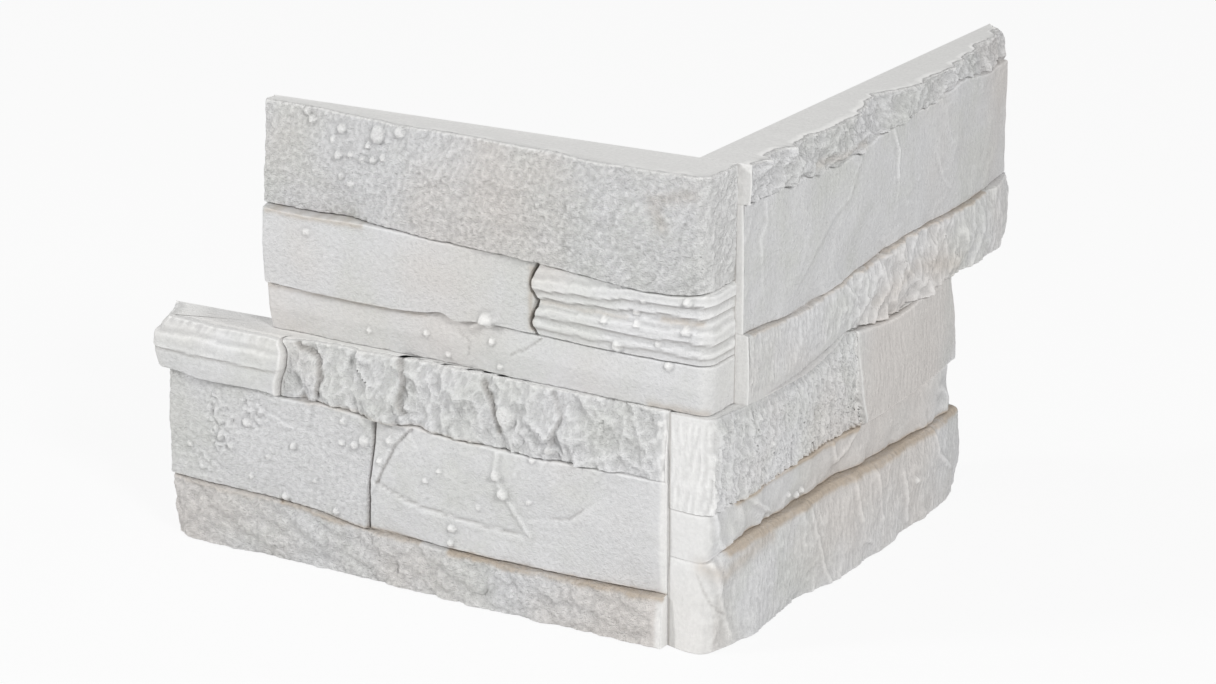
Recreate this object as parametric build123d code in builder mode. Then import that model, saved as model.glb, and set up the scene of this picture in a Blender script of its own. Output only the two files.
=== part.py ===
from build123d import *
import os
from dataclasses import dataclass
from math import cos, radians, sin

# Corner slip of cast stone cladding, in millimetres, +Z up.
# Two castings meet finger-jointed round the outer corner of a wall. The wall's arris is the
# line x = 0, y = 0: the left casting's bond face lies on y = 0 and runs along -X, the right
# casting's lies on x = 0 and runs along +Y. The foot of the arris is the origin.
# Each casting is a backing slab of two courses, shifted against each other to make the
# toothed ends, with the faces of several stones standing out of it.

# Courses
COURSE_HEIGHT = 100.0
COURSE_GAP = 0.8            # dark slit under the left casting's return
BED = 0.5                   # adhesive bed between a return and the other casting's butt end

# Left casting: lengths from the arris, and how far its upper course passes it
LEFT_UPPER_RUN = 208.0
LEFT_LOWER_RUN = 263.5
LEFT_RETURN = 18.0

# Right casting: lengths from the arris, and how far its lower course passes it
RIGHT_UPPER_RUN = 280.5
RIGHT_LOWER_RUN = 228.0
RIGHT_RETURN = 25.0

# Stones
JOINT = 1.4                 # recessed joint between two stones of a casting
RECESS = 3.5                # how far the joints lie behind the faces of the stones
ARRIS = 1.2                 # broken edge at a stone's foot and head
EDGE_SET = 0.3              # stones stand back this much from their casting's beds and butt ends
END_BREAK = 2.5             # broken corner at a stone's ends
BUTT_BREAK = 0.8            # broken corner at the butt ends
RETURN_ROUND = 8.0          # rounded outer corner of the returns
ROUND_STEPS = (0, 35, 62, 90)
CLEAR = 40.0                # deeper than any stone stands out

# Cut-off end of the right casting's lower course
SLANT_SET = 4.0             # how far its foot stops short of the row below
SLANT = 11.0                # and its head of its foot


@dataclass(frozen=True)
class Wall:
    """The bond face of one casting, with the sense in which its run leaves the arris."""

    bond: Plane
    sense: int

    def at(self, run):
        """Section plane at a run from the arris: local x is depth, local y is height."""
        return self.bond.offset(self.sense * run)


@dataclass(frozen=True)
class Stone:
    """One stone face.

    near and far are its runs, foot and head its heights at those two ends, and relief the
    depths of its face, from foot to head, at even stations from near to far.
    """

    near: float
    far: float
    foot: tuple
    head: tuple
    relief: tuple
    near_round: float = END_BREAK
    far_round: float = END_BREAK
    arris: float = ARRIS


LEFT_WALL = Wall(Plane(origin=(0, 0, 0), x_dir=(0, -1, 0), z_dir=(-1, 0, 0)), 1)
RIGHT_WALL = Wall(Plane(origin=(0, 0, 0), x_dir=(1, 0, 0), z_dir=(0, -1, 0)), -1)


def between(ends, share):
    """The value a given share of the way between two ends."""
    return ends[0] + (ends[1] - ends[0]) * share


def block(wall, near, far, low, high, back, face):
    """A plain block of casting between two runs, two heights and two depths."""
    with BuildPart() as piece:
        with BuildSketch(wall.at(near)):
            with Locations((back, low)):
                Rectangle(face - back, high - low, align=(Align.MIN, Align.MIN))
        extrude(amount=wall.sense * (far - near))
    return piece.part


def relief_at(stone, share):
    """The face depths at a share of the stone's run, worked out between its stations."""
    place = share * (len(stone.relief) - 1)
    first = min(int(place), len(stone.relief) - 2)
    pair = zip(stone.relief[first], stone.relief[first + 1])
    return [between(depths, place - first) for depths in pair]


def turned_end(run, radius, sense):
    """Runs and draw-backs of the face round a corner, which is a plain break if it is small."""
    if not radius:
        return [(run, 0.0)]
    steps = ROUND_STEPS if radius >= RETURN_ROUND else (0, 90)
    turn = [(1 - cos(radians(a)), 1 - sin(radians(a))) for a in steps]
    return [(run + sense * radius * out, radius * drop) for out, drop in turn]


def stations(stone):
    """Runs of the sections to loft, each with how far the rounded ends draw the face back."""
    near = turned_end(stone.near, stone.near_round, 1)
    far = turned_end(stone.far, stone.far_round, -1)
    gaps = len(stone.relief) - 1
    step = (stone.far - stone.near) / gaps
    middle = [(stone.near + step * i, 0.0) for i in range(1, gaps)]
    return near + middle + far[::-1]


def section(wall, stone, run, drop):
    """The stone's section at a run, with its face drawn back by drop."""
    share = (run - stone.near) / (stone.far - stone.near)
    foot = between(stone.foot, share)
    head = between(stone.head, share)
    least = 2 * stone.arris + EDGE_SET
    depths = [max(depth - drop, least) for depth in relief_at(stone, share)]
    rise = (head - foot - 2 * stone.arris) / (len(depths) - 1)
    face = [(depth, foot + stone.arris + rise * i) for i, depth in enumerate(depths)]
    if stone.arris:
        face.insert(0, (depths[0] - stone.arris, foot))
        face.append((depths[-1] - stone.arris, head))
    with BuildSketch(wall.at(run)) as profile:
        with BuildLine():
            Polyline((0, foot), *face, (0, head), close=True)
        make_face()
    return profile.sketch.face()


def laid_stone(wall, stone):
    """A stone lofted from each of its sections to the next, from the bond face out."""
    sections = [section(wall, stone, run, drop) for run, drop in stations(stone)]
    with BuildPart() as piece:
        for near, far in zip(sections, sections[1:]):
            loft(sections=(near, far), ruled=True, clean=False)
    return piece.part


TOP = 2 * COURSE_HEIGHT
HALF = JOINT / 2


def level(*shares):
    """Heights given as shares of a course's height."""
    return tuple(COURSE_HEIGHT * share for share in shares)


# Heights of the joints between the rows, from the arris outwards
LEFT_AB = level(1.51, 1.58)
LEFT_BC = level(1.207, 1.213)
LEFT_DE = level(0.704, 0.772)
LEFT_EF = level(0.218, 0.278)
RIGHT_AB = level(1.826, 1.845)
RIGHT_BC = level(1.283, 1.364)
RIGHT_DE = level(0.626, 0.63)
RIGHT_EF = level(0.42, 0.42)

# Runs of the upright joints
LEFT_B_JOINT = 65.0
LEFT_D_JOINT = 190.0
LEFT_E_JOINT = 144.5
RIGHT_D_JOINT = 101.0


def above(joint):
    """The foot heights of a stone laid on a joint."""
    return tuple(height + HALF for height in joint)


def below(joint):
    """The head heights of a stone under a joint."""
    return tuple(height - HALF for height in joint)


def part_of(joint, share):
    """The stretch of a joint from the arris out to a share of its run."""
    return joint[0], between(joint, share)


def rest_of(joint, share):
    """The stretch of a joint from a share of its run to its far end."""
    return between(joint, share), joint[1]


B_SHARE = LEFT_B_JOINT / LEFT_UPPER_RUN
D_SHARE = LEFT_D_JOINT / LEFT_LOWER_RUN
E_SHARE = LEFT_E_JOINT / LEFT_LOWER_RUN

LEFT_UPPER_STONES = (
    # Upper sandstone, thin at its far top edge and proud at the corner
    Stone(
        near=-LEFT_RETURN,
        far=LEFT_UPPER_RUN - 3.5,
        foot=above(LEFT_AB),
        head=(TOP - EDGE_SET, TOP - EDGE_SET),
        relief=(
            (23.0, 25.0, 26.0, 26.2),
            (24.4, 26.0, 26.6, 26.0),
            (23.0, 24.6, 25.2, 24.2),
            (20.2, 21.4, 21.0, 19.2),
            (17.4, 17.8, 16.2, 12.2),
            (14.6, 14.6, 12.0, 8.0),
        ),
        near_round=RETURN_ROUND,
    ),
    # Fine smooth stone
    Stone(
        near=LEFT_B_JOINT + HALF,
        far=LEFT_UPPER_RUN,
        foot=above(rest_of(LEFT_BC, B_SHARE)),
        head=below(rest_of(LEFT_AB, B_SHARE)),
        relief=(
            (20.8, 21.4, 21.0),
            (20.0, 20.8, 20.6),
            (18.0, 19.2, 19.4),
            (15.6, 17.0, 16.6),
        ),
    ),
    # Ledged strata stone that wraps the corner
    Stone(
        near=-LEFT_RETURN,
        far=LEFT_B_JOINT - HALF,
        foot=above(part_of(LEFT_BC, B_SHARE)),
        head=below(part_of(LEFT_AB, B_SHARE)),
        relief=(
            (22.2, 23.6, 22.2, 22.6, 24.0, 22.4, 23.4, 22.0),
            (22.4, 23.8, 22.4, 22.8, 24.4, 22.8, 23.8, 22.2),
            (21.8, 23.4, 21.8, 22.4, 24.0, 22.2, 23.4, 21.8),
            (20.6, 22.2, 20.8, 21.4, 22.8, 21.2, 22.4, 20.8),
        ),
        near_round=RETURN_ROUND,
    ),
    # Smooth bottom stone, which thins towards the toothed end
    Stone(
        near=-LEFT_RETURN,
        far=LEFT_UPPER_RUN - 3.0,
        foot=(COURSE_HEIGHT + HALF, COURSE_HEIGHT + HALF),
        head=below(LEFT_BC),
        relief=(
            (22.5, 23.0, 21.0),
            (21.0, 22.0, 20.6),
            (18.2, 19.6, 19.2),
            (14.4, 16.6, 16.6),
            (12.8, 15.0, 15.0),
            (11.0, 13.0, 13.2),
        ),
        near_round=RETURN_ROUND,
    ),
)

LEFT_LOWER_STONES = (
    # Rounded end stone with a ledge under its top, proud of its neighbours
    Stone(
        near=LEFT_D_JOINT + HALF,
        far=LEFT_LOWER_RUN,
        foot=above(rest_of(LEFT_DE, D_SHARE)),
        head=(COURSE_HEIGHT - EDGE_SET, COURSE_HEIGHT - EDGE_SET),
        relief=(
            (25.6, 27.2, 27.6, 27.6, 26.2, 24.6),
            (25.4, 27.0, 27.4, 27.2, 25.8, 24.2),
            (23.0, 25.0, 25.2, 25.0, 23.4, 21.4),
        ),
        far_round=4.0,
    ),
    # Rough split face, which leans back to the foot of the upper course
    Stone(
        near=EDGE_SET,
        far=LEFT_D_JOINT - HALF,
        foot=above(part_of(LEFT_DE, D_SHARE)),
        head=(COURSE_HEIGHT - EDGE_SET, COURSE_HEIGHT - EDGE_SET),
        relief=(
            (25.8, 26.4, 24.6, 22.8),
            (26.4, 25.6, 25.4, 22.2),
            (26.0, 27.4, 24.4, 21.4),
            (27.8, 26.0, 24.6, 20.2),
            (26.0, 26.4, 22.8, 19.0),
            (26.6, 24.6, 23.4, 18.4),
            (24.0, 24.8, 22.6, 18.6),
        ),
        near_round=BUTT_BREAK,
    ),
    # Plain stone at the toothed end
    Stone(
        near=LEFT_E_JOINT + HALF,
        far=LEFT_LOWER_RUN - 6.0,
        foot=above(rest_of(LEFT_EF, E_SHARE)),
        head=below(rest_of(LEFT_DE, E_SHARE)),
        relief=(
            (24.8, 25.6, 24.8),
            (24.4, 25.2, 24.4),
            (23.4, 24.4, 23.6),
            (20.6, 21.8, 21.0),
        ),
    ),
    # Slate with a broken face
    Stone(
        near=EDGE_SET,
        far=LEFT_E_JOINT - HALF,
        foot=above(part_of(LEFT_EF, E_SHARE)),
        head=below(part_of(LEFT_DE, E_SHARE)),
        relief=(
            (25.0, 26.6, 25.8, 25.4),
            (25.6, 25.8, 26.8, 25.5),
            (25.2, 26.4, 26.0, 25.1),
            (24.0, 24.8, 25.2, 24.2),
        ),
        near_round=BUTT_BREAK,
    ),
    # Rough foot stone
    Stone(
        near=EDGE_SET,
        far=LEFT_LOWER_RUN - 5.8,
        foot=(EDGE_SET, EDGE_SET),
        head=below(LEFT_EF),
        relief=(
            (30.6, 29.6, 26.8),
            (30.0, 28.6, 26.2),
            (28.0, 27.4, 25.4),
            (25.2, 25.8, 24.4),
            (23.2, 24.8, 24.0),
            (18.5, 20.5, 20.5),
        ),
        near_round=BUTT_BREAK,
        far_round=4.0,
    ),
)

RIGHT_UPPER_STONES = (
    # Crumbled rough stone, thin at its far top edge
    Stone(
        near=EDGE_SET,
        far=RIGHT_UPPER_RUN - 13.0,
        foot=above(RIGHT_AB),
        head=(TOP - EDGE_SET, TOP - EDGE_SET),
        relief=(
            (22.0, 22.8, 22.0),
            (22.6, 24.0, 23.0),
            (23.6, 26.4, 25.8),
            (21.6, 20.6, 18.0),
            (22.4, 24.0, 22.6),
            (19.8, 19.2, 17.0),
            (13.6, 10.4, 7.6),
        ),
        near_round=BUTT_BREAK,
    ),
    # Large flowing smooth stone
    Stone(
        near=EDGE_SET,
        far=RIGHT_UPPER_RUN - 11.0,
        foot=above(RIGHT_BC),
        head=below(RIGHT_AB),
        relief=(
            (19.8, 19.8, 19.4),
            (20.0, 21.0, 20.2),
            (20.4, 21.4, 20.8),
            (21.0, 21.8, 20.8),
            (20.0, 21.2, 20.2),
            (16.8, 18.0, 17.2),
        ),
        near_round=BUTT_BREAK,
    ),
    # Broken bottom stone, longer than the rows above it
    Stone(
        near=EDGE_SET,
        far=RIGHT_UPPER_RUN,
        foot=(COURSE_HEIGHT + HALF, COURSE_HEIGHT + 2.5),
        head=below(RIGHT_BC),
        relief=(
            (22.0, 23.2, 22.6),
            (21.2, 22.6, 21.4),
            (20.6, 23.4, 21.8),
            (22.0, 24.4, 22.6),
            (22.6, 24.6, 22.8),
            (19.0, 21.4, 19.0),
        ),
        near_round=BUTT_BREAK,
        far_round=4.0,
    ),
)

RIGHT_LOWER_STONES = (
    # Striated stone that wraps the corner
    Stone(
        near=-RIGHT_RETURN,
        far=RIGHT_D_JOINT - HALF,
        foot=above(RIGHT_DE),
        head=(COURSE_HEIGHT - EDGE_SET, COURSE_HEIGHT - EDGE_SET),
        relief=(
            (20.6, 20.8, 20.2),
            (21.6, 21.8, 21.0),
            (22.4, 22.2, 21.0),
            (21.2, 21.0, 19.8),
        ),
        near_round=RETURN_ROUND,
    ),
    # Smooth end stone, proud of the striated one, cut off at a slant
    Stone(
        near=RIGHT_D_JOINT + HALF,
        far=RIGHT_LOWER_RUN - SLANT_SET,
        foot=above(RIGHT_DE),
        head=(COURSE_HEIGHT - EDGE_SET, COURSE_HEIGHT - EDGE_SET),
        relief=(
            (24.6, 24.2, 22.0),
            (23.6, 23.6, 21.8),
            (20.8, 21.2, 19.4),
        ),
    ),
    # Sloped narrow stone
    Stone(
        near=-RIGHT_RETURN,
        far=RIGHT_LOWER_RUN - 16.0,
        foot=above(RIGHT_EF),
        head=below(RIGHT_DE),
        relief=(
            (20.6, 20.4, 20.0),
            (23.0, 21.8, 20.6),
            (24.2, 22.6, 20.8),
            (24.3, 22.6, 21.0),
            (22.0, 20.8, 19.6),
        ),
        near_round=RETURN_ROUND,
    ),
    # Rough foot stone
    Stone(
        near=-RIGHT_RETURN,
        far=RIGHT_LOWER_RUN,
        foot=(EDGE_SET, EDGE_SET),
        head=below(RIGHT_EF),
        relief=(
            (20.5, 21.2, 20.6),
            (26.6, 26.0, 23.2),
            (26.6, 26.4, 23.4),
            (30.6, 29.0, 25.2),
            (28.6, 27.2, 24.2),
            (23.0, 23.4, 21.6),
        ),
        near_round=RETURN_ROUND,
        far_round=5.0,
    ),
)


def backing(near, far, low, high, relief, near_round):
    """The cast body behind the stones of a course, whose face is the floor of the joints."""
    faces = tuple(tuple(depth - RECESS for depth in depths) for depths in relief)
    return Stone(near, far, (low, low), (high, high), faces, near_round, 0.0, 0.0)


LEFT_UPPER_BACKING = backing(
    near=EDGE_SET - LEFT_RETURN,
    far=LEFT_UPPER_RUN - 5.0,
    low=COURSE_HEIGHT,
    high=TOP,
    relief=(
        (22.0, 22.4, 24.0),
        (20.6, 21.6, 25.0),
        (16.2, 20.0, 22.0),
        (13.2, 17.6, 14.6),
        (11.0, 15.0, 8.4),
    ),
    near_round=RETURN_ROUND,
)
LEFT_LOWER_BACKING = backing(
    near=0.0,
    far=LEFT_LOWER_RUN - 8.0,
    low=0.0,
    high=COURSE_HEIGHT,
    relief=(
        (29.0, 26.0, 22.8),
        (27.0, 25.6, 20.2),
        (24.0, 24.6, 18.2),
        (19.0, 21.4, 21.0),
    ),
    near_round=0.0,
)
RIGHT_UPPER_BACKING = backing(
    near=0.0,
    far=RIGHT_UPPER_RUN - 15.0,
    low=COURSE_HEIGHT,
    high=TOP,
    relief=(
        (21.8, 19.8, 22.0),
        (20.8, 20.4, 23.0),
        (20.8, 20.8, 18.0),
        (21.6, 20.6, 19.0),
        (18.6, 16.6, 8.4),
    ),
    near_round=0.0,
)
RIGHT_LOWER_BACKING = backing(
    near=EDGE_SET - RIGHT_RETURN,
    far=RIGHT_LOWER_RUN - 18.0,
    low=0.0,
    high=COURSE_HEIGHT,
    relief=(
        (20.4, 20.2, 20.0),
        (24.4, 21.8, 20.8),
        (26.4, 22.0, 19.8),
        (26.6, 22.0, 20.4),
        (23.0, 20.4, 19.2),
    ),
    near_round=RETURN_ROUND,
)

# Left casting
with BuildPart() as left_wing_slip:
    for stone in (LEFT_UPPER_BACKING, *LEFT_UPPER_STONES, LEFT_LOWER_BACKING, *LEFT_LOWER_STONES):
        add(laid_stone(LEFT_WALL, stone))
    # its return stands clear of the right casting's butt end behind it and top below it
    for high, face in ((TOP, BED), (COURSE_HEIGHT + COURSE_GAP, CLEAR)):
        add(block(LEFT_WALL, -LEFT_RETURN, 0.0, COURSE_HEIGHT, high, 0.0, face), mode=Mode.SUBTRACT)

# Right casting
with BuildPart() as right_wing_slip:
    for stone in (RIGHT_UPPER_BACKING, *RIGHT_UPPER_STONES, RIGHT_LOWER_BACKING, *RIGHT_LOWER_STONES):
        add(laid_stone(RIGHT_WALL, stone))
    # its return stands clear of the left casting's butt end
    add(block(RIGHT_WALL, -RIGHT_RETURN, 0.0, 0.0, COURSE_HEIGHT, 0.0, BED), mode=Mode.SUBTRACT)
    # the end stone of its lower course is cut off at a slant
    with BuildSketch(Plane.YZ):
        with BuildLine():
            slant_foot = (RIGHT_LOWER_RUN - SLANT_SET, above(RIGHT_DE)[1])
            slant_head = (RIGHT_LOWER_RUN - SLANT_SET - SLANT, COURSE_HEIGHT)
            Polyline(slant_foot, (RIGHT_LOWER_RUN, COURSE_HEIGHT), slant_head, close=True)
        make_face()
    extrude(amount=CLEAR, mode=Mode.SUBTRACT)

os.makedirs("parts", exist_ok=True)
left_wing_slip.part.label = "left_wing_slip"
export_step(left_wing_slip.part, "parts/left_wing_slip.step")
right_wing_slip.part.label = "right_wing_slip"
export_step(right_wing_slip.part, "parts/right_wing_slip.step")
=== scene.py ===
"""Looks of a corner slip of cast stone cladding: two toothed castings round a wall's outer corner.

Each casting is one closed skin over both of its courses. The skin is laid out in a wall's own
measures, in millimetres: run from the wall's arris, depth out from the bond face, and height.
"""

import logging
import math
from dataclasses import dataclass
from enum import Enum

import bmesh
import bpy
import numpy as np
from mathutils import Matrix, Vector


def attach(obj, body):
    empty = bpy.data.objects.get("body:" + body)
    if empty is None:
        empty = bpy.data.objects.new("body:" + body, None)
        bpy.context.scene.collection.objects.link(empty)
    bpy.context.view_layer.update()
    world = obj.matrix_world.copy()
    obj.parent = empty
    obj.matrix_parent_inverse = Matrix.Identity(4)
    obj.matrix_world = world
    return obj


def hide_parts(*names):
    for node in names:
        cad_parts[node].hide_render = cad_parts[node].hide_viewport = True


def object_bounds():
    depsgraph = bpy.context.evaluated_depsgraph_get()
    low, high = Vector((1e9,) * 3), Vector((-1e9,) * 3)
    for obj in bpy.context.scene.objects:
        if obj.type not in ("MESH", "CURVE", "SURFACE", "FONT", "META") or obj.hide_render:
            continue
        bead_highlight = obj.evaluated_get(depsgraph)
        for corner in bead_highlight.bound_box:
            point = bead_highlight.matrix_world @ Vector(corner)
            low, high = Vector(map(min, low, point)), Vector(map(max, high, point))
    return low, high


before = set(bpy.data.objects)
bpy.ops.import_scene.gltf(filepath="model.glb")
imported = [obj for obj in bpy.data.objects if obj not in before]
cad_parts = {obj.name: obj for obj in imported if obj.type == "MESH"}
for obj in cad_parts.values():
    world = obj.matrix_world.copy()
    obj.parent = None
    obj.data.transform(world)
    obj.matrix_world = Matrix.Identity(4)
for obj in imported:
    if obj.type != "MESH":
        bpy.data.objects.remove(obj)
CAD_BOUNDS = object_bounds()

LOG = logging.getLogger("corner_slip")
Array = np.ndarray
MM = 0.001
COURSE_HEIGHT = 100.0
TOP = 2 * COURSE_HEIGHT
FAR_OFF = 1e9
TABLE = 256


# Curves and noise


@dataclass(frozen=True)
class Curve:
    """A smooth curve through given points, such as a joint's height along its run."""

    points: tuple[tuple[float, float], ...]

    def at(self, place: Array) -> Array:
        """Work out the curve at some places.

        Args:
            place: where along the curve; beyond its ends the end values hold.

        Returns:
            The curve's value at each place.
        """
        places, values = np.array(self.points, float).T
        if len(places) == 1:
            return np.full(np.shape(place), values[0])
        slopes = 0.8 * np.gradient(values, places)
        held = np.clip(place, places[0], places[-1])
        first = np.clip(np.searchsorted(places, held, side="right") - 1, 0, len(places) - 2)
        span = places[first + 1] - places[first]
        t = (held - places[first]) / span
        rise = (3 - 2 * t) * t * t
        lift = values[first] + (values[first + 1] - values[first]) * rise
        lean = t * (1 - t) * span * (slopes[first] * (1 - t) - slopes[first + 1] * t)
        return lift + lean


def flat(value: float) -> Curve:
    """A curve with one value all along."""
    return Curve(((0.0, value),))


def smooth(value: Array) -> Array:
    """Ease a share from 0 to 1, held beyond both."""
    held = np.clip(value, 0, 1)
    return held * held * (3 - 2 * held)


class Noise:
    """Seeded patterns over run and height, each about 1 unit in size and within about -1 to 1."""

    def __init__(self, seed: int) -> None:
        """Shuffle the table that the patterns draw from."""
        draw = np.random.default_rng(seed)
        self.table = np.tile(draw.permutation(TABLE), 2)
        self.angles = draw.uniform(0, 2 * math.pi, TABLE)
        self.shares = draw.uniform(0, 1, (TABLE, 4))

    def mark(self, column: Array, row: Array) -> Array:
        """The table's entry for a cell of the pattern."""
        return self.table[(self.table[column & (TABLE - 1)] + row) & (TABLE - 1)]

    def waves(self, x: Array, y: Array) -> Array:
        """Plain rolling noise.

        Args:
            x: run in cells.
            y: height in cells.

        Returns:
            Height of the noise at each place.
        """
        column, row = np.floor(x).astype(int), np.floor(y).astype(int)
        u, v = x - column, y - row
        corners = []
        for step_y in (0, 1):
            for step_x in (0, 1):
                angle = self.angles[self.mark(column + step_x, row + step_y)]
                corners.append(np.cos(angle) * (u - step_x) + np.sin(angle) * (v - step_y))
        ease_u, ease_v = smooth(u), smooth(v)
        low = corners[0] + (corners[1] - corners[0]) * ease_u
        high = corners[2] + (corners[3] - corners[2]) * ease_u
        return 1.5 * (low + (high - low) * ease_v)

    def layers(self, x: Array, y: Array, count: int = 3) -> Array:
        """Rolling noise with finer layers on it, each half as strong as the last."""
        return sum(self.waves(x * 2**i + 17 * i, y * 2**i + 5 * i) / 2**i for i in range(count))

    def crests(self, x: Array, y: Array, count: int = 2) -> Array:
        """Noise of sharp crests with round valleys between them."""
        return sum(
            (1 - 2 * np.abs(self.waves(x * 2**i + 9 * i, y * 2**i + 3 * i))) / 2**i
            for i in range(count)
        )

    def flakes(self, x: Array, y: Array, lean: float = 1.0) -> Array:
        """Leaning round-backed flakes that meet in sharp valleys, as on split stone.

        Args:
            x: run in cells.
            y: height in cells.
            lean: how much each flake tips to a side of its own.

        Returns:
            Height of the highest flake at each place.
        """
        column, row = np.floor(x).astype(int), np.floor(y).astype(int)
        best = np.full(np.shape(x), -9.0)
        for step_y in (-1, 0, 1):
            for step_x in (-1, 0, 1):
                draw = self.shares[self.mark(column + step_x, row + step_y)]
                u = x - column - step_x - draw[..., 0]
                v = y - row - step_y - draw[..., 1]
                angle = 2 * math.pi * draw[..., 2]
                tip = lean * (np.cos(angle) * u + np.sin(angle) * v)
                best = np.maximum(best, draw[..., 3] + tip - 0.9 * (u * u + v * v))
        return best - 0.35


NOISE = Noise(8)


# Skins


class Break(Enum):
    """How the flakes of a split face meet."""

    HOLLOW = -1.0   # scooped flakes with sharp crests between them
    FULL = 1.0      # round-backed flakes with sharp valleys between them


@dataclass(frozen=True)
class Pattern:
    """One kind of relief: how deep it is, how large, how drawn out and which way it leans."""

    depth: float
    size: float
    stretch: float = 1.0
    angle: float = 0.0

    def places(self, run: Array, height: Array, shift: float) -> tuple[Array, Array]:
        """Turn and scale run and height into the pattern's own cells.

        Args:
            run: run in millimetres.
            height: height in millimetres.
            shift: moves the pattern, so that no two stones share it.

        Returns:
            Cells along and across the pattern's long way.
        """
        turn = math.radians(self.angle)
        along = run * math.cos(turn) + height * math.sin(turn)
        across = height * math.cos(turn) - run * math.sin(turn)
        return along / (self.size * self.stretch) + shift, across / self.size + 3.7 * shift


@dataclass(frozen=True)
class Ledge:
    """A wavy ledge along a face: the face stands out by so much more above it than below it."""

    height: Curve
    out: float

    def over(self, run: Array, height: Array) -> Array:
        """How far each place lies over the ledge."""
        level = self.height.at(run)
        return height - level - 0.7 * NOISE.layers(run / 15 + 3 * self.out, level / 9, 3)


@dataclass(frozen=True)
class Skin:
    """The texture that one stone's face took from its mould."""

    swell: Pattern = Pattern(0.5, 30.0)
    grain: Pattern = Pattern(0.1, 1.8)
    flakes: Pattern | None = None
    splinters: Pattern | None = None
    crests: Pattern | None = None
    ledges: tuple[Ledge, ...] = ()
    meeting: Break = Break.HOLLOW
    rough_at: Curve = flat(1.0)
    grit: float = 0.35
    brush: float = 0.0

    def relief(self, run: Array, height: Array, shift: float) -> Array:
        """Height of the texture over the stone's plain face.

        Args:
            run: run in millimetres, measured on round the corners.
            height: height in millimetres.
            shift: moves the patterns, so that no two stones share them.

        Returns:
            Millimetres out from the plain face.
        """
        rise = self.swell.depth * NOISE.layers(*self.swell.places(run, height, shift), 2)
        rise += self.grain.depth * NOISE.layers(*self.grain.places(run, height, shift + 1), 2)
        bend = 0.35 * NOISE.layers(run / 14 + shift, height / 14, 2)
        rough = self.rough_at.at(run)
        for number, pattern in enumerate((self.flakes, self.splinters)):
            if pattern:
                along, across = pattern.places(run, height, shift + 2 + number)
                rise += (
                    pattern.depth * self.meeting.value * rough
                    * NOISE.flakes(along + bend, across - bend)
                )
        if self.crests:
            along, across = self.crests.places(run, height, shift + 4)
            rise += self.crests.depth * NOISE.crests(along, across + 0.5 * bend)
        for ledge in self.ledges:
            rise += ledge.out * (smooth(ledge.over(run, height) / 0.5) - 0.5)
        return rise

    def painted_shadow(self, run: Array, height: Array) -> Array:
        """Share of painted shadow under each ledge that overhangs."""
        found = np.zeros(run.shape)
        for ledge in self.ledges:
            if ledge.out > 0:
                found += 0.6 * np.exp(-(((ledge.over(run, height) + 0.3) / 0.5) ** 2))
        return found


@dataclass(frozen=True)
class Bead:
    """A round pimple where air left a bubble in the mould."""

    run: float
    height: float
    radius: float
    rise: float = 1.0

    def relief(self, run: Array, height: Array) -> Array:
        """Millimetres that the bead stands out at each place."""
        near = 1 - ((run - self.run) ** 2 + (height - self.height) ** 2) / self.radius**2
        return self.rise * self.radius * np.clip(near, 0, 1) ** 0.65


@dataclass(frozen=True)
class Vein:
    """A ridge (out above 0) or a crack (out below 0) along a given line.

    step is how far the face on the line's left, going along it, stands out over its right.
    """

    points: tuple[tuple[float, float], ...]
    width: float
    out: float
    step: float = 0.0
    fade: float = 14.0

    def lie(self, run: Array, height: Array) -> tuple[Array, Array]:
        """How each place lies to the line.

        Args:
            run: run in millimetres.
            height: height in millimetres.

        Returns:
            Distance from the line, and how far to its left the place is.
        """
        best = np.full(run.shape, FAR_OFF)
        side = np.zeros(run.shape)
        wander = 0.6 * NOISE.layers(run / 6, height / 6, 2)
        for (run_a, height_a), (run_b, height_b) in zip(self.points, self.points[1:]):
            way = np.array((run_b - run_a, height_b - height_a))
            length = float(np.hypot(*way))
            way /= length
            off_run, off_height = run + wander - run_a, height - wander - height_a
            along = np.clip(off_run * way[0] + off_height * way[1], 0, length)
            gap = np.hypot(off_run - along * way[0], off_height - along * way[1])
            across = off_height * way[0] - off_run * way[1]
            nearer = gap < best
            best = np.where(nearer, gap, best)
            side = np.where(nearer, across, side)
        return best, side

    def relief(self, run: Array, height: Array) -> Array:
        """Millimetres that the line adds at each place.

        Args:
            run: run in millimetres.
            height: height in millimetres.

        Returns:
            The line's relief.
        """
        gap, side = self.lie(run, height)
        rise = self.out * np.exp(-((gap / self.width) ** 2))
        if self.step:
            share = smooth(side / max(0.8, 1.8 * self.width) + 0.5) - 0.5
            rise += self.step * share * np.exp(-gap / self.fade)
        return rise

    def painted_shadow(self, run: Array, height: Array) -> Array:
        """Share of painted shade in the line, where it is a crack."""
        if self.out >= 0:
            return np.zeros(run.shape)
        share = min(1.0, -0.8 * self.out)
        return share * np.exp(-((self.lie(run, height)[0] / (self.width + 0.2)) ** 2))


@dataclass(frozen=True)
class Patch:
    """A patch of rough pits and crumbs on a face."""

    run: float
    height: float
    reach: float
    depth: float
    size: float = 3.0

    def relief(self, run: Array, height: Array) -> Array:
        """Millimetres that the patch adds at each place."""
        gap = np.hypot(run - self.run, height - self.height) / self.reach
        gap += 0.4 * NOISE.layers(run / 7, height / 7, 2)
        share = smooth(2.5 * (1 - gap))
        return self.depth * share * NOISE.layers(run / self.size + 8, height / self.size, 2)


@dataclass(frozen=True)
class Stain:
    """A smear of tan colour left along a given line."""

    points: tuple[tuple[float, float], ...]
    width: float
    strength: float

    def share(self, run: Array, height: Array) -> Array:
        """How strongly the stain colours each place, from 0 to 1."""
        line = Vein(self.points, self.width, self.strength)
        return np.clip(line.relief(run, height), 0, 1)


# Stones, joints and courses


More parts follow.
